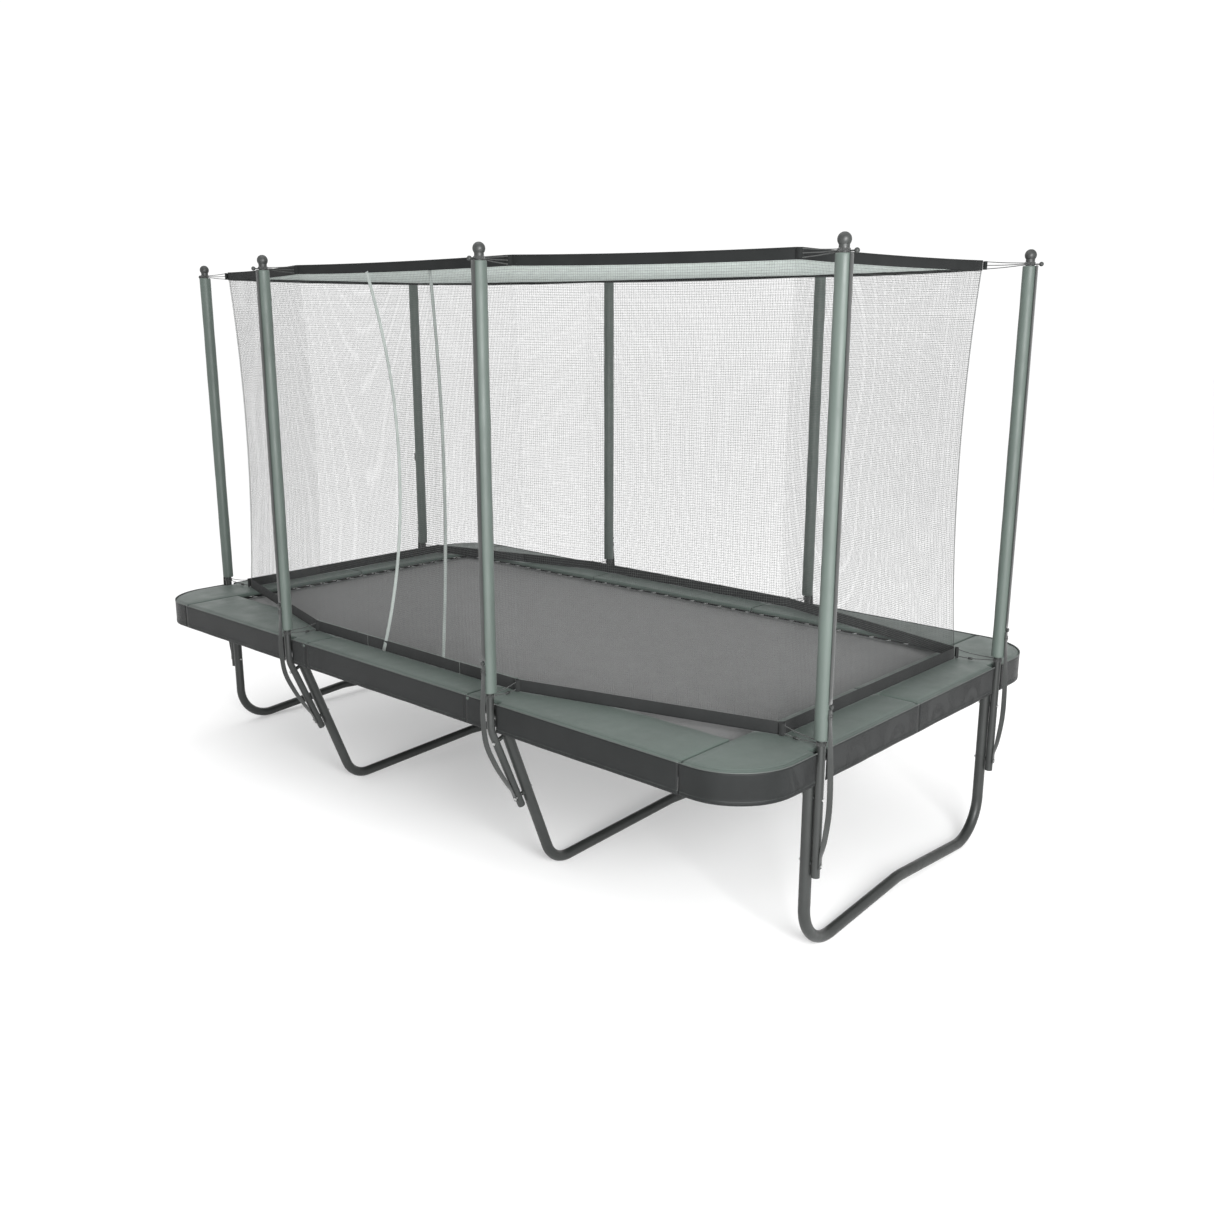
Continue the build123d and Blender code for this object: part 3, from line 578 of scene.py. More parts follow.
def top_hem():
    """The folded band round the top of the net, with its stitching and corner tabs."""
    middle = (HEM_TOP[0] + HEM_TOP[1]) / 2
    width = HEM_TOP[1] - HEM_TOP[0] + 0.003
    build = Build()
    line, normals = closed_ring(*ring_line(middle))
    build.band(line, normals, UP, width, 0.0030)
    hem = build.make("net_top_hem", HEM_FABRIC, slot="hem_fabric")
    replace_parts(hem, "net_hem_top")
    thread = Build()
    for offset in (-0.020, 0.020):
        for lift in (0.0018, -0.0018):
            stitches(thread, *closed_ring(*ring_line(middle + offset, lift=lift)))
    threads = thread.make("net_top_hem_stitches", HEM_FABRIC, slot="hem_fabric", smooth=False)
    tabs = corner_tabs("net_top_tabs", HEM_TOP, HEM_FABRIC)
    return hem


TAB_LOOP = ((0.016, -0.004), (0.010, 0.009), (0.0, 0.014), (-0.010, 0.009), (-0.016, -0.004))


def corner_tabs(name, heights, fabric):
    """A folded loop of webbing at each corner that the ties run through."""
    build = Build()
    height = heights[1] - heights[0] - 0.006
    middle = (heights[0] + heights[1]) / 2
    for index in range(8):
        outward = np.append(-INWARD[index], 0.0)
        sideways = np.cross(UP, outward)
        here = np.append(CORNERS[index], middle)
        line = smooth_path([here + sideways * across + outward * out for across, out in TAB_LOOP], 17)
        normals = unit(np.cross(np.gradient(line, axis=0), UP))
        build.band(line, normals, UP, height, 0.0022)
    return build.make(name, fabric, slot="hem_fabric")


def bottom_hem():
    """The wide band round the bottom of the net, parted for the door."""
    middle = (HEM_LOW[0] + HEM_LOW[1]) / 2
    width = HEM_LOW[1] - HEM_LOW[0] - 0.001
    build, thread = Build(), Build()
    left, right = front_share(DOOR_LEFT - 0.004), front_share(DOOR_RIGHT + 0.004)
    others = [(i % 8, None) for i in range(FRONT + 1, FRONT + 8)]
    around = [(FRONT, (right, 1.0))] + others + [(FRONT, (0.0, left))]

    def route(z, lift=0.0):
        pieces = [ring_line(z, [index], span, lift=lift) for index, span in around]
        return np.vstack([p[0] for p in pieces]), np.vstack([p[1] for p in pieces])

    build.band(*route(middle), UP, width, 0.0028)
    hem = build.make("net_bottom_hem", BOTTOM_HEM_FABRIC_PAINTED_LIGHTER, slot="hem_fabric")
    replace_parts(hem, "net_hem_bottom")
    for offset in (-0.028, 0.028):
        stitches(thread, *route(middle + offset, 0.0017))
    threads = thread.make("net_bottom_hem_stitches", HEM_FABRIC, slot="hem_fabric", smooth=False)
    tabs = corner_tabs("net_bottom_tabs", HEM_LOW, BOTTOM_HEM_FABRIC_PAINTED_LIGHTER)
    return hem


class Flap:
    """One of the two net flaps: hinge and free edge along X, and its place along Y."""

    def __init__(self, name, hinge_x, edge_x, bow_x, body, step_y):
        self.name, self.body = name, body
        self.hinge_x, self.edge_x, self.bow_x = hinge_x, edge_x, bow_x
        self.step_y = step_y
        self.low, self.top = low(f"door_flap_{name}")[2], high(f"door_flap_{name}")[2]

    def edge(self, z):
        v = (z - self.low) / (self.top - self.low)
        return self.edge_x + (self.bow_x - self.edge_x) * 4 * v * (1 - v)

    def point(self, x, z):
        x, z = np.broadcast_arrays(np.asarray(x, float), np.asarray(z, float))
        base = wall_point(FRONT, front_share(x), z)
        base[..., 1] += self.step_y
        base[..., 2] = np.minimum(base[..., 2], self.top - 0.001)
        return base

    def net(self):
        build = Build()
        normal = WALL_NORMALS[FRONT]
        rows = ROWS[ROWS < self.top - 0.002]
        share = np.linspace(0, 1, 25)[None, :]
        x = self.hinge_x + (self.edge(rows)[:, None] - self.hinge_x) * share
        build.tubes(self.point(x, rows[:, None]), normal, YARN_R)
        reach = (self.hinge_x, self.edge_x, self.bow_x)
        for column in np.arange(min(reach), max(reach), NET_PITCH):
            for z0, z1 in self.spans(column):
                heights = np.linspace(z0, z1, max(3, int((z1 - z0) / 0.15) + 2))
                build.tubes(self.point(np.full(len(heights), column), heights), normal, YARN_R)
        made = build.make(f"door_net_{self.name}", NET_YARN, body=None, slot="net_mesh")
        self.bend_at_hinge(made)
        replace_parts(made, f"door_flap_{self.name}")

    def bend_at_hinge(self, made):
        """Bakes the object's placement into its mesh."""
        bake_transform(made)

    def spans(self, x):
        """Stretches of height where the flap covers x."""
        z = np.linspace(WALL_LOW, self.top - 0.002, 240)
        toward = np.sign(self.hinge_x - self.edge_x)
        inside = (x - self.edge(z)) * toward >= 0
        changes = np.flatnonzero(np.diff(inside.astype(int))) + 1
        found = []
        for part in np.split(np.arange(len(z)), changes):
            if inside[part[0]] and len(part) > 3:
                found.append((z[part[0]], z[part[-1]]))
        return found

    def hem(self):
        """The flap's own piece of the bottom band."""
        z = (HEM_LOW[0] + HEM_LOW[1]) / 2
        build = Build()
        x = np.linspace(self.hinge_x, self.edge(z), 29)
        line = self.point(x, np.full(29, z))
        normal = np.broadcast_to(WALL_NORMALS[FRONT], line.shape)
        width = HEM_LOW[1] - HEM_LOW[0] - 0.002
        build.band(line, normal, UP, width, 0.0024)
        made = build.make(f"door_hem_{self.name}", BOTTOM_HEM_FABRIC_PAINTED_LIGHTER, body=None, slot="hem_fabric")
        self.bend_at_hinge(made)
        return made

    def trim(self, lift, top):
        """The pale ribbon along the free edge, with two rows of stitches."""
        z = np.linspace(self.low, top, 40)
        toward = np.sign(self.hinge_x - self.edge_x)
        x = self.edge(np.minimum(z, self.top)) + toward * 0.0125
        line = self.point(x, z)
        line[:, 2] = z
        line[:, 1] += lift
        normals = np.broadcast_to(WALL_NORMALS[FRONT], line.shape)
        tangent = np.gradient(line, axis=0)
        sideways = unit(np.cross(tangent, normals))
        build, thread = Build(), Build()
        build.band(line, normals, sideways, 0.027, 0.0018)
        made = build.make(f"door_ribbon_{self.name}", RIBBON, body=self.body, slot="trim_ribbon")
        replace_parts(made, f"door_trim_{self.name}")
        for offset in (-0.009, 0.009):
            stitches(thread, line + sideways * offset, normals, lift=0.0011)
        threads = thread.make(f"door_ribbon_{self.name}_stitches", THREAD, body=self.body, slot="trim_ribbon",
                              smooth=False)
        return made


# ======================= pads =======================
def sample_arc(centre, radius, start, end, count):
    turn = np.radians(np.linspace(start, end, count))
    return [(centre[0] + radius * math.cos(t), centre[1] + radius * math.sin(t)) for t in turn]


def straight_outline(x0, x1, notch_x=None):
    """Outline of a pad of the back long side, from seam to seam, anticlockwise."""
    out_y = PAD_OUT[0]
    points = [(x0, PAD_IN_Y), (x1, PAD_IN_Y), (x1, out_y)]
    if notch_x is not None:
        points += [(notch_x + NOTCH_HALF, out_y), (notch_x + NOTCH_HALF, out_y - NOTCH_IN - 0.003),
                   (notch_x - NOTCH_HALF, out_y - NOTCH_IN - 0.003), (notch_x - NOTCH_HALF, out_y)]
    return points + [(x0, out_y)]


def corner_outline(x0, y0, notch_y):
    """Outline of the back right corner pad."""
    out_x, out_y, r = PAD_OUT[1], PAD_OUT[0], PAD_CORNER_R
    notch_x = out_x - NOTCH_IN - 0.008
    below, above = notch_y - NOTCH_HALF, notch_y + NOTCH_HALF
    points = [(x0, y0), (out_x, y0), (out_x, below), (notch_x, below), (notch_x, above), (out_x, above)]
    return points + sample_arc((out_x - r, out_y - r), r, 0, 90, 19) + [(x0, out_y)]


def far_from(points, segments):
    """Distance in plan of each point from the nearest of the segments."""
    best = np.full(len(points), np.inf)
    for a, b in segments:
        a, b = np.array(a), np.array(b)
        d = b - a
        t = np.clip(((points - a) @ d) / (d @ d), 0, 1)
        best = np.minimum(best, np.linalg.norm(points - (a + t[:, None] * d), axis=1))
    return best


def outer_runs(outline):
    """The stretches of an outline that lie on the pads' outer edge."""
    def outer(p):
        beyond = abs(p[1] - PAD_OUT[0]) < 1e-4 or abs(p[0] - PAD_OUT[1]) < 1e-4
        r = PAD_CORNER_R
        c = np.array([PAD_OUT[1] - r, PAD_OUT[0] - r])
        on_circle = abs(np.linalg.norm(np.array(p) - c) - r) < 1e-4
        return beyond or (on_circle and p[0] >= c[0] - 1e-6 and p[1] >= c[1] - 1e-6)
    runs, current = [], []
    for a, b in zip(outline, outline[1:] + outline[:1]):
        over_notch = abs(math.dist(a, b) - 2 * NOTCH_HALF) < 1e-4
        if outer(a) and outer(b) and not over_notch:
            current = current or [a]
            current.append(b)
        elif current:
            runs.append(current)
            current = []
    if current:
        runs.append(current)
    return runs


PAD_VOXEL = 0.0075
PAD_PUFF = 0.0035
PUFF_FRAMES = 20
PUFF_CLOTH = {"use_pressure": True, "uniform_pressure_force": 4.0, "quality": 4,
              "tension_stiffness": 25, "compression_stiffness": 25, "bending_stiffness": 2.0}
RIM_WIDTH = 0.030
RIM_DROP = 0.008
SEAM_IN = 0.027
GROOVE = 0.0025


def pad_shell(name, outline):
    """A foam slab of the outline, remeshed evenly and puffed up by a cloth simulation."""
    inset = 0.0015
    centre = np.mean(outline, axis=0)
    base, top = PAD_TOP - PAD_THICK, PAD_TOP - 0.003
    build = bpy.data.meshes.new(name)
    count = len(outline)
    pulled = [np.array(p) + inset * np.sign(centre - np.array(p)) for p in outline]
    verts = [(*p, base) for p in pulled] + [(*p, top) for p in pulled]
    faces = [list(range(count))[::-1], [count + i for i in range(count)]]
    faces += [[i, (i + 1) % count, count + (i + 1) % count, count + i] for i in range(count)]
    build.from_pydata([tuple(map(float, v)) for v in verts], [], faces)
    made = placed(name, build)
    remesh = made.modifiers.new("remesh", "REMESH")
    remesh.mode = "VOXEL"
    remesh.voxel_size = PAD_VOXEL
    made.data = baked(made)
    made.modifiers.clear()
    inflate(made)
    settle(made, outline)
    return made


def baked(made):
    """The object's mesh with its modifiers applied."""
    bpy.context.view_layer.update()
    graph = bpy.context.evaluated_depsgraph_get()
    return bpy.data.meshes.new_from_object(made.evaluated_get(graph))


def inflate(made):
    """Cloth with pressure; no point moves further than PAD_PUFF."""
    before = np.array([v.co for v in made.data.vertices])
    cloth = made.modifiers.new("puff", "CLOTH")
    for key, value in PUFF_CLOTH.items():
        setattr(cloth.settings, key, value)
    cloth.settings.effector_weights.gravity = 0.0
    cloth.point_cache.frame_start = 1
    cloth.point_cache.frame_end = PUFF_FRAMES
    scene = bpy.context.scene
    for number in range(1, PUFF_FRAMES + 1):
        scene.frame_set(number)
    mesh = baked(made)
    after = np.array([v.co for v in mesh.vertices])
    made.modifiers.clear()
    scene.frame_set(1)
    move = after - before
    far = np.linalg.norm(move, axis=1, keepdims=True)
    capped = before + move * np.minimum(1.0, PAD_PUFF / np.maximum(far, 1e-9))
    made.data.vertices.foreach_set("co", capped.reshape(-1))
    made.data.update()


def settle(made, outline):
    """Rounds the edges, sinks the sewn rim and lets the foam dip softly."""
    co = np.array([v.co for v in made.data.vertices])
    plan, z = co[:, :2], co[:, 2]
    ring = outline + outline[:1]
    outer = [(a, b) for run in outer_runs(outline) for a, b in zip(run, run[1:])]
    near_any = far_from(plan, list(zip(ring, ring[1:])))
    near_outer = far_from(plan, outer)
    upper = np.clip((z - (PAD_TOP - PAD_THICK)) / PAD_THICK, 0, 1)
    rim = np.clip(1 - near_outer / RIM_WIDTH, 0, 1)
    sunk = RIM_DROP * np.where(rim > 0, np.sin(np.minimum(rim * 1.35, 1.0) * math.pi / 2) ** 2, 0)
    sunk = sunk + GROOVE * np.exp(-((near_outer - SEAM_IN) / 0.007) ** 2)
    edge = 0.004 * np.clip(1 - near_any / 0.010, 0, 1) ** 2
    dip = 0.0012 * np.sin(7.3 * plan[:, 0] + 1.0) * np.sin(9.1 * plan[:, 1])
    dip = dip + 0.0008 * np.sin(23.0 * plan[:, 0])
    crown = 0.002 * np.clip(near_any / 0.08, 0, 1)
    co[:, 2] = np.minimum(z + upper * (crown + dip - sunk - edge), PAD_TOP + 0.003)
    co[:, 2] = np.maximum(co[:, 2], PAD_TOP - PAD_THICK - 0.0005)
    made.data.vertices.foreach_set("co", co.reshape(-1))
    made.data.update()


def mirrored(points, sx, sy):
    return [(p[0] * sx, p[1] * sy) for p in points]


def pad_cover(name, source, outline, sx, sy, node):
    """One pad: the puffed slab, its piping, and the skirt sewn to its outer edge."""
    co = np.array([v.co for v in source.data.vertices]) * (sx, sy, 1)
    faces = [list(p.vertices) for p in source.data.polygons]
    if sx * sy < 0:
        faces = [f[::-1] for f in faces]
    pad = make_object(name, co, faces, PAD_VINYL, slot="pad_vinyl")
    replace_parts(pad, node)
    piping, thread = Build(), Build()
    tree = BVHTree.FromPolygons([tuple(v) for v in co.tolist()], faces)
    for number, run in enumerate(outer_runs(outline)):
        line, normals = resample(mirrored(run, sx, sy), sx, sy)
        rim = np.column_stack([line - normals * 0.003, np.full(len(line), PAD_TOP - 0.0055)])
        flat = np.column_stack([normals, np.zeros(len(line))])
        piping.tubes(rim, UP, 0.0032, sides=8)
        seam = on_top(tree, line - normals * SEAM_IN, -0.0002)
        piping.tubes(seam, UP, 0.0016, sides=6)
        inner = on_top(tree, line - normals * (SEAM_IN + 0.009), 0.0002)
        stitches(thread, inner, UP, step=0.011, size=0.0008)
        skirt(f"{name}_skirt_{number}", line, flat)
    piping.make(f"{name}_piping", PIPING, slot="pad_vinyl")
    thread.make(f"{name}_stitches", THREAD, slot="pad_vinyl", smooth=False)
    return pad


def on_top(tree, plan, lift):
    """Points on a pad's upper face, lifted a little."""
    points = []
    for x, y in plan:
        hit = tree.ray_cast(Vector((x, y, PAD_TOP + 0.1)), Vector((0, 0, -1)))[0]
        points.append((x, y, (hit.z if hit else PAD_TOP - 0.004) + lift))
    return np.array(points)


def resample(run, sx, sy, step=0.02):
    """Even points along a run, with outward normals in plan."""
    run = np.array(run)
    length = run_of(run)
    count = max(8, int(length[-1] / step))
    at = np.linspace(0, length[-1], count)
    line = np.stack([np.interp(at, length, run[:, k]) for k in range(2)], axis=1)
    tangent = unit(np.gradient(line, axis=0))
    normals = np.stack([tangent[:, 1], -tangent[:, 0]], axis=1)
    outward = np.sign((normals * line).sum(axis=1))[:, None]
    return line, normals * outward


def skirt(name, line, normals):
    """A hanging strip of coated cloth with a folded hem, slightly wavy."""
    top, foot = PAD_TOP - 0.006, SKIRT_LOW + 0.0005
    heights = np.array([top, top - 0.012, top - 0.035, (top + foot) / 2, foot + 0.035, foot + 0.017,
                        foot + 0.0155, foot + 0.006, foot])
    thick = np.array([2.2, 2.2, 2.2, 2.2, 2.2, 2.4, 4.2, 4.2, 3.0]) / 1000
    run = run_of(line)
    verts = []
    down = (top - heights) / (top - foot)
    for point, normal, r in zip(line, normals, run):
        wave = 0.0012 * math.sin(9 * r + point[0]) + 0.0007 * math.sin(23 * r)
        offset = np.array([1, -1])[:, None] * thick / 2 + wave * down - 0.0030
        face = [point[:, None] + normal[:2, None] * one for one in offset]
        verts += [np.vstack([face[0], heights]).T, np.vstack([face[1], heights]).T[::-1]]
    verts = np.vstack(verts)
    index = np.arange(len(verts)).reshape(-1, 2 * len(heights))
    quads = round_faces(index).tolist() + [index[0, ::-1].tolist(), index[-1].tolist()]
    made = make_object(name, verts, quads, SKIRT_FABRIC, slot="pad_vinyl")
    thread = Build()
    seam = np.column_stack([line, np.full(len(line), foot + 0.019)])
    stitches(thread, seam, normals, step=0.010, size=0.0007, lift=-0.0008)
    threads = thread.make(f"{name}_stitches", THREAD, slot="pad_vinyl", smooth=False)
    return made


def all_pads():
    gap = 0.001
    side_x, end_y = 0.942, 0.929
    ends = straight_outline(PAD_SEAM_X + gap, PAD_IN_X - gap, side_x)
    middle = straight_outline(-PAD_SEAM_X + gap, PAD_SEAM_X - gap)
    corner = corner_outline(PAD_IN_X + gap, gap, end_y)
    shells = [(pad_shell("pad_end_shell", ends), ends), (pad_shell("pad_middle_shell", middle), middle),
              (pad_shell("pad_corner_shell", corner), corner)]
    for side, sy in (("front", -1), ("back", 1)):
        for way, sx in (("left", -1), ("right", 1)):
            pad_cover(f"pad_{side}_{way}", *shells[0], sx, sy, f"pads_{side}")
            pad_cover(f"corner_pad_{side}_{way}", *shells[2], sx, sy, f"pad_corner_{side}_{way}")
        pad_cover(f"pad_{side}_middle", *shells[1], 1, sy, f"pads_{side}")
    for shell, _ in shells:
        bpy.data.objects.remove(shell)


# ======================= mat and springs =======================
BINDING_W = 0.048


def jumping_mat():
    """Woven mat with a bound edge, its rows of stitching and a soft dish in the middle."""
    hx, hy = MAT_HALF
    xs = np.linspace(-hx, hx, 91)
    ys = np.linspace(-hy, hy, 47)
    gx, gy = np.meshgrid(xs, ys, indexing="ij")
    dish = -0.006 * (1 - (gx / hx) ** 2) * (1 - (gy / hy) ** 2)
    over = np.clip(np.abs(gx) - (hx - 0.04) + np.abs(gy) - (hy - 0.04), 0, 0.04)
    gx, gy = gx - np.sign(gx) * over / 2, gy - np.sign(gy) * over / 2
    top = np.stack([gx, gy, MAT_TOP - 0.0015 + dish], axis=-1).reshape(-1, 3)
    under = top - (0, 0, 0.0012)
    nx, ny = gx.shape
    index = np.arange(nx * ny).reshape(nx, ny)
    quads = np.stack([index[:-1, :-1], index[1:, :-1], index[1:, 1:], index[:-1, 1:]], axis=-1).reshape(-1, 4)
    faces = quads.tolist() + (quads[:, ::-1] + nx * ny).tolist()
    rim = np.concatenate([index[:, 0], index[-1, 1:], index[-2::-1, -1], index[0, -2:0:-1]])
    faces += [[int(b), int(a), int(a + nx * ny), int(b + nx * ny)] for a, b in zip(rim, np.roll(rim, -1))]
    mat = make_object("woven_mat", np.vstack([top, under]), faces, MAT_WEAVE, body="mat", slot="mat_weave")
    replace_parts(mat, "jumping_mat")
    binding, thread = Build(), Build()
    inner_x, inner_y = hx - BINDING_W / 2, hy - BINDING_W / 2
    cut = 0.03
    half = [(-inner_x + cut, -inner_y), (inner_x - cut, -inner_y), (inner_x, -inner_y + cut),
            (inner_x, inner_y - cut)]
    loop = half + [(-x, -y) for x, y in half]
    for z, upper in ((MAT_TOP - 0.0004, True), (MAT_TOP - 0.0032, False)):
        for a, b in zip(loop, loop[1:] + loop[:1]):
            line = np.linspace((*a, z), (*b, z), max(3, int(math.dist(a, b) / 0.12)))
            sideways = np.cross(UP, unit(line[-1] - line[0]))
            binding.band(line, UP, sideways, BINDING_W, 0.0012)
            if upper:
                for offset in (-0.019, -0.006, 0.006, 0.019):
                    stitches(thread, line + sideways * offset, UP, 0.010, 0.0007, 0.0007)
    edge = binding.make("mat_binding", MAT_BINDING, body="mat", slot="mat_weave")
    threads = thread.make("mat_stitches", THREAD, body="mat", slot="mat_weave", smooth=False)


SPRING_COIL_R = 0.0078
SPRING_WIRE_R = 0.0014
SPRING_TURNS = 30
RING_REACH = 0.034


def spring_line():
    """One spring from the ring's apex outward: hook, coil, hook."""
    start, coil0, coil1, end = RING_REACH, 0.062, 0.238, 0.2655
    r = SPRING_COIL_R
    turn = np.linspace(0, SPRING_TURNS * 2 * math.pi, SPRING_TURNS * 8 + 1)
    coil = np.column_stack([np.linspace(coil0, coil1, len(turn)), r * np.cos(turn), r * np.sin(turn)])
    first = [(start + 0.006, 0.004, -0.004), (start, 0.0, -0.0052), (start - 0.001, -0.003, 0.0),
             (start + 0.002, -0.001, 0.005), (start + 0.014, 0.0, 0.004), (coil0 - 0.006, r * 0.6, 0.0)]
    last = [(coil1 + 0.006, r * 0.6, 0.0), (end - 0.012, 0.0, 0.004), (end - 0.003, 0.0, 0.003),
            (end, 0.0, -0.002)]
    return np.vstack([smooth_path(first, 12), coil, smooth_path(last, 8)])


def springs():
    """A wound spring for each ring; each side's row stretches between the frame and the mat."""
    hx, hy = MAT_HALF
    z = (low("jumping_mat")[2] + MAT_TOP) / 2
    one = spring_line()
    for name in ("front", "back", "left", "right"):
        edge, half, count = (hy, hx, 36) if name in ("front", "back") else (hx, hy, 18)
        out = np.array(OUTWARD[name])
        side = np.cross(UP, out)
        pitch = 2 * (half - 0.040) / count
        build = Build()
        lines = []
        for i in range(count):
            along = -(half - 0.040) + pitch * (i + 0.5)
            base = out * edge + np.abs(side) * along + UP * z
            lines.append(base + one[:, :1] * out + one[:, 1:2] * side + one[:, 2:3] * UP)
        lines = np.array(lines)
        build.tubes(lines, (0.3, 0.2, 0.93), SPRING_WIRE_R, sides=4)
        made = build.make(f"springs_{name}", ZINC, body=None, slot="zinc_steel")
        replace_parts(made, "springs")
        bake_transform(made)


# ======================= sleeves, straps and ties =======================
def sleeves():
    """Foam tubes in a smooth skin, very slightly uneven, with a seam down the inside."""
    for post in POSTS:
        z0, z1 = post.sleeve_z
        turns, rows = 40, 70
        z = np.concatenate([[z0, z0, z0 + 0.001, z0 + 0.004], np.linspace(z0 + 0.010, z1 - 0.010, rows),
                            [z1 - 0.004, z1 - 0.001, z1, z1]])
        shoulder = [0.0215, 0.033, 0.0355, 0.0368]
        base = np.concatenate([shoulder, np.full(rows, SLEEVE_R), shoulder[::-1]])
        phase = rng.uniform(0, 6.28)
        angle = np.arange(turns) * 2 * math.pi / turns
        verts = []
        for height, radius in zip(z, base):
            swell = 0.0005 * math.sin(11 * height + phase) + 0.0003 * math.sin(29 * height + 2 * phase)
            seam = 0.0012 * np.exp(-((np.angle(np.exp(1j * (angle - math.pi)))) / 0.07) ** 2)
            ring = radius + (swell - seam if radius > 0.036 else 0)
            ring = np.minimum(ring, SLEEVE_R + 0.0006)
            point = (post.axis[None] + post.out[None] * (ring * np.cos(angle))[:, None]
                     + post.side[None] * (ring * np.sin(angle))[:, None])
            point[:, 2] = height
            verts.append(point)
        index = np.arange(len(z) * turns).reshape(len(z), turns)
        faces = round_faces(np.vstack([index, index[:1]]))
        made = make_object(f"foam_sleeve_{post.name}", np.vstack(verts), faces, SLEEVE_VINYL,
                           slot="sleeve_vinyl")
        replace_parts(made, f"sleeve_{post.name}")


STRAP_W = 0.028
STRAP_T = 0.0024
POLE_SLOPE = 0.43
POLE_BEND_Z = 0.928
HOOK_Z = 1.300
STRAP_TWIST = 0.95
END_SLACK = [(0.0395, 1.288), (0.0475, 1.120), (0.0565, 0.940), (0.0565, 0.780),
             (0.0395, 0.630), (0.0245, 0.550), (0.0240, 0.505), (0.0240, 0.487)]
SIDE_SLACK = [(0.0395, 1.288), (0.0475, 1.130), (0.0515, 1.010), (0.0635, 0.860), (0.0615, 0.720),
              (0.0375, 0.590), (0.0262, 0.532), (0.0262, 0.488), (0.0262, 0.470)]


def lean(z):
    return min(0.0, POLE_SLOPE * (z - POLE_BEND_Z))


def strap_band(build, post, points, width=STRAP_W, count=60, twist=0.0):
    """A flat strap down a pole; twist turns its slack middle about its own length, in radians."""
    line = smooth_path([post.place(out, 0.0, z) for out, z in points], count)
    tangent = unit(np.gradient(line, axis=0))
    normals = unit(np.cross(np.broadcast_to(post.side, line.shape), tangent))
    share = np.linspace(0, 1, count)
    turn = (twist * np.sin(math.pi * np.clip((share - 0.06) / 0.68, 0, 1)) ** 1.2)[:, None]
    sides = np.cross(tangent, normals)
    c, s = np.cos(turn), np.sin(turn)
    build.band(line, normals * c + sides * s, sides * c - normals * s, width, STRAP_T, crown=0.15)


CAM_BUCKLE_Z = (1.840, 1.905)


def cam_buckle(build, post):
    """A small moulded buckle on one sleeve strap, with its lever and pin."""
    z = np.linspace(*CAM_BUCKLE_Z, 6)
    for out, width, thick, inset in ((0.0455, 0.036, 0.009, 0.0), (0.0515, 0.024, 0.005, 0.008)):
        span = np.clip(z, CAM_BUCKLE_Z[0] + inset, CAM_BUCKLE_Z[1] - inset)
        line = np.array([post.place(out, 0.0, height) for height in np.unique(span)])
        build.band(line, post.out, post.side, width, thick, crown=0.2)
    pin = np.array([post.place(0.050, s * 0.019, CAM_BUCKLE_Z[1] - 0.008) for s in (-1, 0, 1)])
    build.tubes(pin, post.out, 0.0022, sides=8)


def straps():
    upper, lower, trim = Build(), Build(), Build()
    knob_z = 3.302
    for post in POSTS:
        drop = np.linspace(knob_z - 0.006, HOOK_Z + 0.012, 9)
        bulge = 0.0395 + 0.0015 * np.sin(np.linspace(0, math.pi, 9))
        strap_band(upper, post, list(zip(bulge, drop)))
        slack = [(out + lean(z), z) for out, z in SIDE_SLACK] if post.leans else END_SLACK
        strap_band(lower, post, slack, count=80, twist=-STRAP_TWIST if post.leans else STRAP_TWIST)
        corners = ((-1, 1.262), (1, 1.262), (1, 1.236), (-1, 1.236), (-1, 1.262), (1, 1.262))
        loop = np.array([post.place(0.0425, s * 0.0165, z) for s, z in corners])
        trim.tubes(loop, post.out, 0.0018, sides=8, closed=True)
        bar = np.array([post.place(0.0445, -0.0165, 1.249), post.place(0.0445, 0.0165, 1.249)])
        trim.tubes(bar, post.out, 0.0018, sides=8)
        if post.name == "left_back":
            cam_buckle(trim, post)
    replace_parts(upper.make("sleeve_straps", WEBBING, slot="strap_webbing"), "pole_straps")
    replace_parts(lower.make("slack_straps", WEBBING, slot="strap_webbing"), "tension_straps")
    trim.make("strap_buckles", CAP_PLASTIC, slot="cap_plastic")


TOP_TIES = ((3.321, 3.310), (3.302, 3.305), (3.283, 3.300))
LOW_TIES = ((1.140, 1.122), (1.099, 1.110))
TIE_R = 0.0024
NECK_TURN_R = 0.0262
POLE_TURN_R = 0.0234


def wind(build, post, radius, heights):
    """Turns of cord round a pole or its cap's neck."""
    turn = np.linspace(0, 2 * math.pi, 25)[:, None]
    for z in heights:
        ring = post.axis + radius * (np.cos(turn) * post.out + np.sin(turn) * post.side) + UP * z
        build.tubes(ring, UP, TIE_R, sides=6, closed=True)


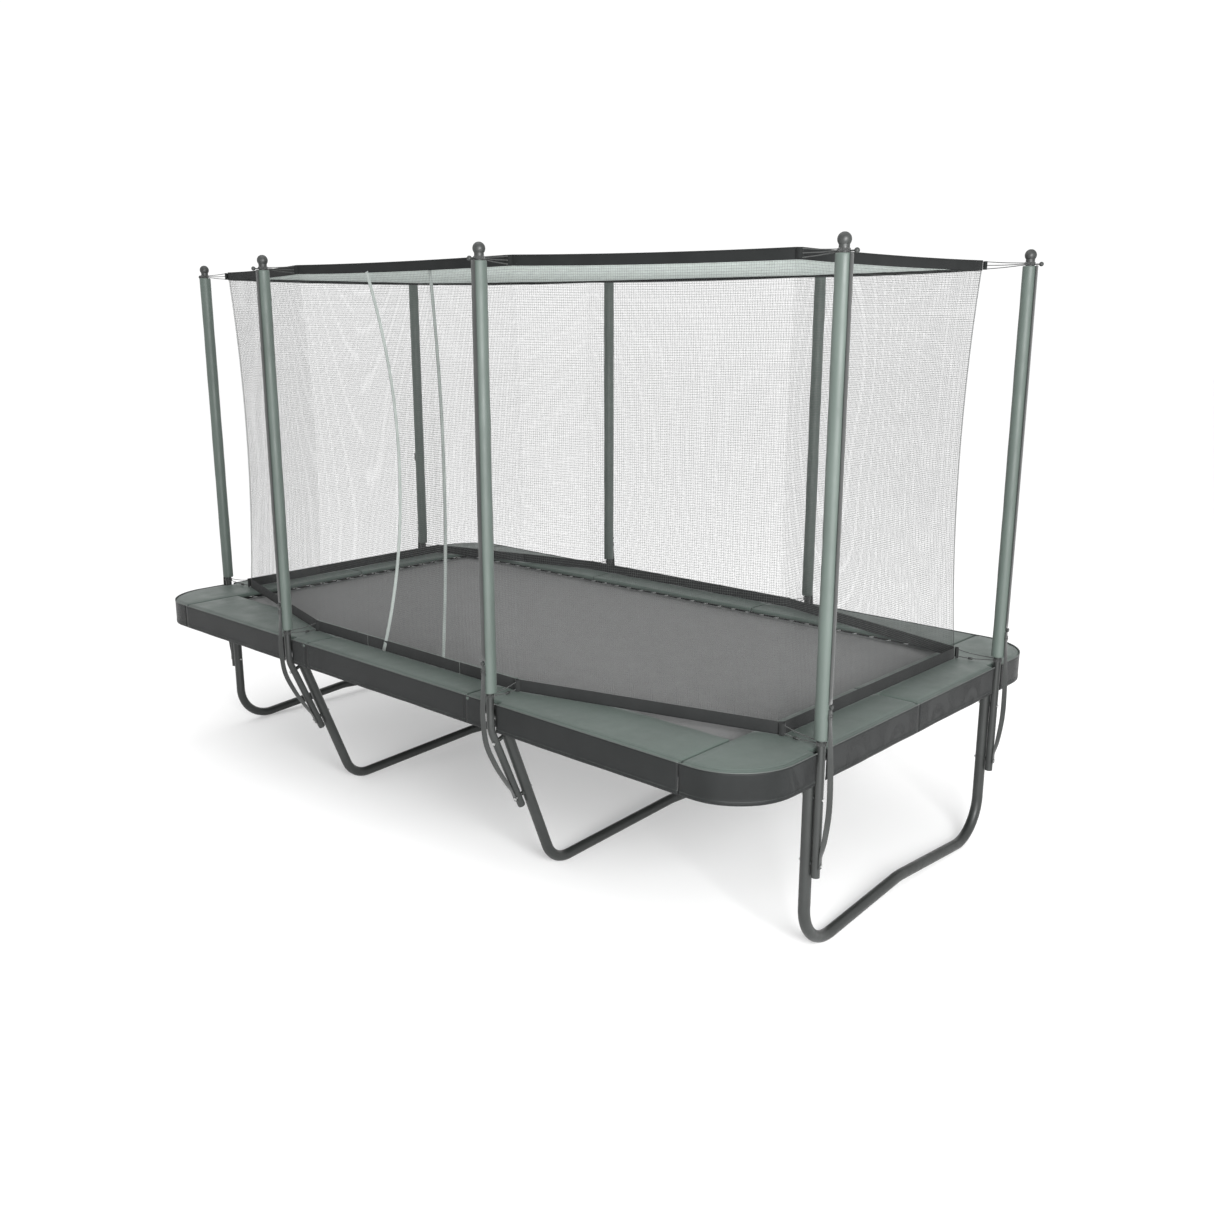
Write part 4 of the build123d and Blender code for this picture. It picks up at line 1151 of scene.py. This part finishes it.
def ties():
    """Cords from the net's corner tabs to the pole caps and the feet of the sleeves."""
    tops, lows, locks = Build(), Build(), Build()
    for index, post in enumerate(POSTS):
        corner = np.append(CORNERS[index], 0.0)
        toward = unit(post.axis - corner)
        side = np.cross(UP, toward)
        for net_z, pole_z in TOP_TIES:
            a = corner + toward * 0.008 + UP * net_z
            b = post.axis - toward * 0.0265 + UP * pole_z
            line = smooth_path([a, (a + b) / 2 - UP * 0.002, b], 12)
            tops.tubes(line, side, TIE_R, sides=6)
        wind(tops, post, NECK_TURN_R, (3.3005, 3.3058, 3.3111))
        for number, (net_z, pole_z) in enumerate(LOW_TIES):
            a = corner + toward * 0.010 + UP * net_z
            b = post.axis - toward * 0.0235 + UP * pole_z
            line = smooth_path([a, a * 0.6 + b * 0.4 - UP * 0.006, b], 14)
            lows.tubes(line, side, TIE_R, sides=6)
            if number == 1:
                lock = smooth_path([line[6] - toward * 0.012, line[6], line[6] + toward * 0.012], 5)
                locks.tubes(lock, side, 0.007, sides=10)
        wind(lows, post, POLE_TURN_R, (1.108, 1.114, 1.120))
    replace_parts(tops.make("net_ties_top", CORD, slot="tie_cord"), "net_cords_top")
    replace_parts(lows.make("net_ties_bottom", CORD, slot="tie_cord"), "net_cords_bottom")
    locks.make("cord_locks", CAP_PLASTIC, slot="cap_plastic")


# ======================= camera, floor and light =======================
FLOOR_GLOW = 0.27
LAMPS = (
    ("key", (7.5, -4.5, 3.6), 3.0, 760.0),
    ("low_key", (8.0, -8.5, 1.2), 3.0, 300.0),
    ("top", (0.0, -1.5, 9.0), 6.0, 160.0),
)


def aim(thing, place, forward):
    """Stands a lamp or the camera at a place, looking along forward."""
    thing.location = place
    thing.rotation_euler = forward.to_track_quat("-Z", "Y").to_euler()


def stage():
    mesh = bpy.data.meshes.new("studio_floor")
    far = 60.0
    mesh.from_pydata([(-far, -far, 0), (far, -far, 0), (far, far, 0), (-far, far, 0)], [], [(0, 1, 2, 3)])
    s = Shade("studio_floor_paint", 0.9, specular=0.1)
    s.color(s.noise(0.6, 3.0), [(0.3, (0.70, 0.70, 0.70)), (0.7, (0.73, 0.73, 0.73))])
    s.shader.inputs["Emission Color"].default_value = (1.0, 1.0, 1.0, 1)
    s.shader.inputs["Emission Strength"].default_value = FLOOR_GLOW
    mesh.materials.append(s.mat)
    floor = placed("studio_floor", mesh)
    world = bpy.data.worlds.new("studio")
    world.use_nodes = True
    background = world.node_tree.nodes["Background"].inputs
    background["Color"].default_value = (1.0, 1.0, 1.0, 1)
    background["Strength"].default_value = 1.04
    bpy.context.scene.world = world
    bpy.context.scene.view_settings.view_transform = "Standard"
    for name, place, size, power in LAMPS:
        light = bpy.data.lights.new(name, "AREA")
        light.size = size
        light.energy = power
        aim(placed(name, light), place, Vector((0, 0, 1.2)) - Vector(place))


def camera():
    data = bpy.data.cameras.new("camera")
    data.sensor_width = 36.0
    data.lens = 35.07
    data.clip_end = 200.0
    eye = placed("camera", data)
    aim(eye, (5.3549, -5.4088, 3.0394), Vector((-0.6557, 0.7163, -0.2395)))
    bpy.context.scene.camera = eye


camera()
stage()
net_wall()
top_net()
top_hem()
bottom_hem()
outer = Flap("outer", DOOR_RIGHT, -0.250, -0.085, "door_outer", -0.0025)
inner = Flap("inner", DOOR_LEFT, 0.318, 0.328, "door_inner", 0.0022)
for flap, lift in ((outer, -0.0022), (inner, -0.0018)):
    flap.net()
    flap.hem()
    flap.trim(lift, flap.top - 0.001)
all_pads()
jumping_mat()
springs()
sleeves()
straps()
ties()
